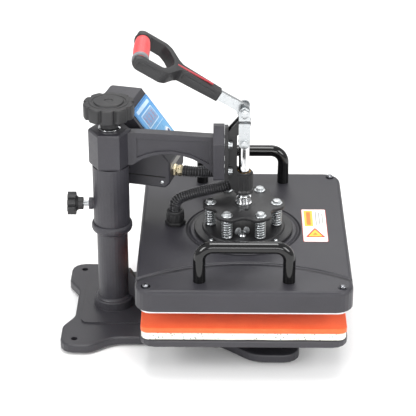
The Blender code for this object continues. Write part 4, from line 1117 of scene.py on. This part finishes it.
def cover_gland():
    """An open-mouthed gland: the conduit's end can slide in when the platen rises."""
    spot = at(*COVER_GLAND, 0.0)
    body = spun([(0, 0.0003), (0.0126, 0.0003), (0.0126, 0.0190), (0.0132, 0.0196),
                 (0.0132, 0.0226), (0.0124, 0.0236), (0.0112, 0.0240), (0.0098, 0.0240),
                 (0.0096, 0.0236), (0.0096, 0.0120), (0, 0.0120)], 48)
    # Twelve finger ribs round the cap.
    for k in range(12):
        rib = slab((0.0020, 0.0026), 0.0008, 0.0070, 0.0188, edge=0.0004, segments=2,
                   corner_steps=2)
        moved(rib, Matrix.Rotation(math.tau * k / 12, 4, "Z")
              @ Matrix.Translation((0.0127, 0, 0)))
        body = merged(body, rib)
    piece("conduit_gland", moved(body, spot), MOULDED_NYLON, "platen",
          ["cover_gland"])
    nut = spun([(0.0128, 0.0004), (0.0154, 0.0004), (0.0158, 0.0010), (0.0158, 0.0050),
                (0.0152, 0.0056), (0.0128, 0.0056)], 6, ring=True)
    piece("cover_gland_nut", moved(nut, spot), MOULDED_NYLON, "platen")


# --- column -------------------------------------------------------------------------
def column_details():
    """The weld bead where the column stands in the base."""
    weld = spun([(0.0226, 0.0), (0.0275, 0.0), (0.0262, 0.0020), (0.0238, 0.0036),
                 (0.0226, 0.0036)], 48, ring=True)
    piece("post_weld", moved(weld, Vector((COLUMN_X, 0, 0.0330))), CAST_COAT, "base")


for make in (pressure_knob, lock_knob, toggle_hardware, rod_fittings, pressure_plate,
             springs_and_bolts, disc_fittings, cover_fittings, handles, cover_label,
             fork_handle, handle_details, grip, bed, panel_details, box_details, conduit,
             cover_gland, column_details):
    make()


# --- room, light and camera ------------------------------------------------------------
def floor():
    """A plain pale sheet under the machine, a hair below its feet."""
    bm = bmesh.new()
    bmesh.ops.create_grid(bm, x_segments=2, y_segments=2, size=6)
    moved(bm, Vector((0, 0, -0.0002)))
    mesh = bpy.data.meshes.new("floor")
    bm.to_mesh(mesh)
    bm.free()
    mesh.materials.append(coating("matt_white_sheet", "f4f4f4", "f8f8f8", 0.0030, 0.75, 0.05,
                                  0.02, 0.5))
    ground = bpy.data.objects.new("floor", mesh)
    bpy.context.scene.collection.objects.link(ground)


def light(name, spot, target, size, power):
    """A rectangular softbox turned towards a target; power in watts."""
    data = bpy.data.lights.new(name, "AREA")
    data.shape = "RECTANGLE"
    data.size, data.size_y = size
    data.energy = power
    lamp = bpy.data.objects.new(name, data)
    lamp.location = spot
    lamp.rotation_euler = (Vector(target) - Vector(spot)).to_track_quat("-Z", "Y").to_euler()
    bpy.context.scene.collection.objects.link(lamp)


def room():
    """An even white surround and five softboxes."""
    world = bpy.data.worlds.new("studio")
    world.use_nodes = True
    sky = world.node_tree.nodes["Background"]
    sky.inputs["Color"].default_value = colour("ffffff")
    sky.inputs["Strength"].default_value = 0.62
    bpy.context.scene.world = world
    bpy.context.scene.view_settings.view_transform = "Standard"
    centre = (0.0, 0.0, 0.15)
    light("overhead_softbox", (0.0, 0.1, 2.4), centre, (1.2, 1.2), 36)
    light("left_softbox", (-1.9, -1.5, 1.5), centre, (0.9, 1.3), 36)
    light("right_softbox", (2.0, -1.2, 1.5), centre, (0.9, 1.3), 30)
    light("front_softbox", (0.3, -2.6, 1.0), centre, (1.8, 0.7), 24)
    light("rear_softbox", (0.2, 2.2, 1.9), centre, (1.8, 1.0), 12)


def camera():
    """A long lens, 27 degrees above the machine's near side."""
    data = bpy.data.cameras.new("camera")
    data.lens = 145.2
    data.sensor_width = 36
    eye = bpy.data.objects.new("camera", data)
    eye.location = at(-0.0262, -2.266, 1.1904)
    eye.rotation_euler = (math.radians(90 - 27.02), 0, math.radians(0.70))
    bpy.context.scene.collection.objects.link(eye)
    bpy.context.scene.camera = eye


floor()
room()
camera()
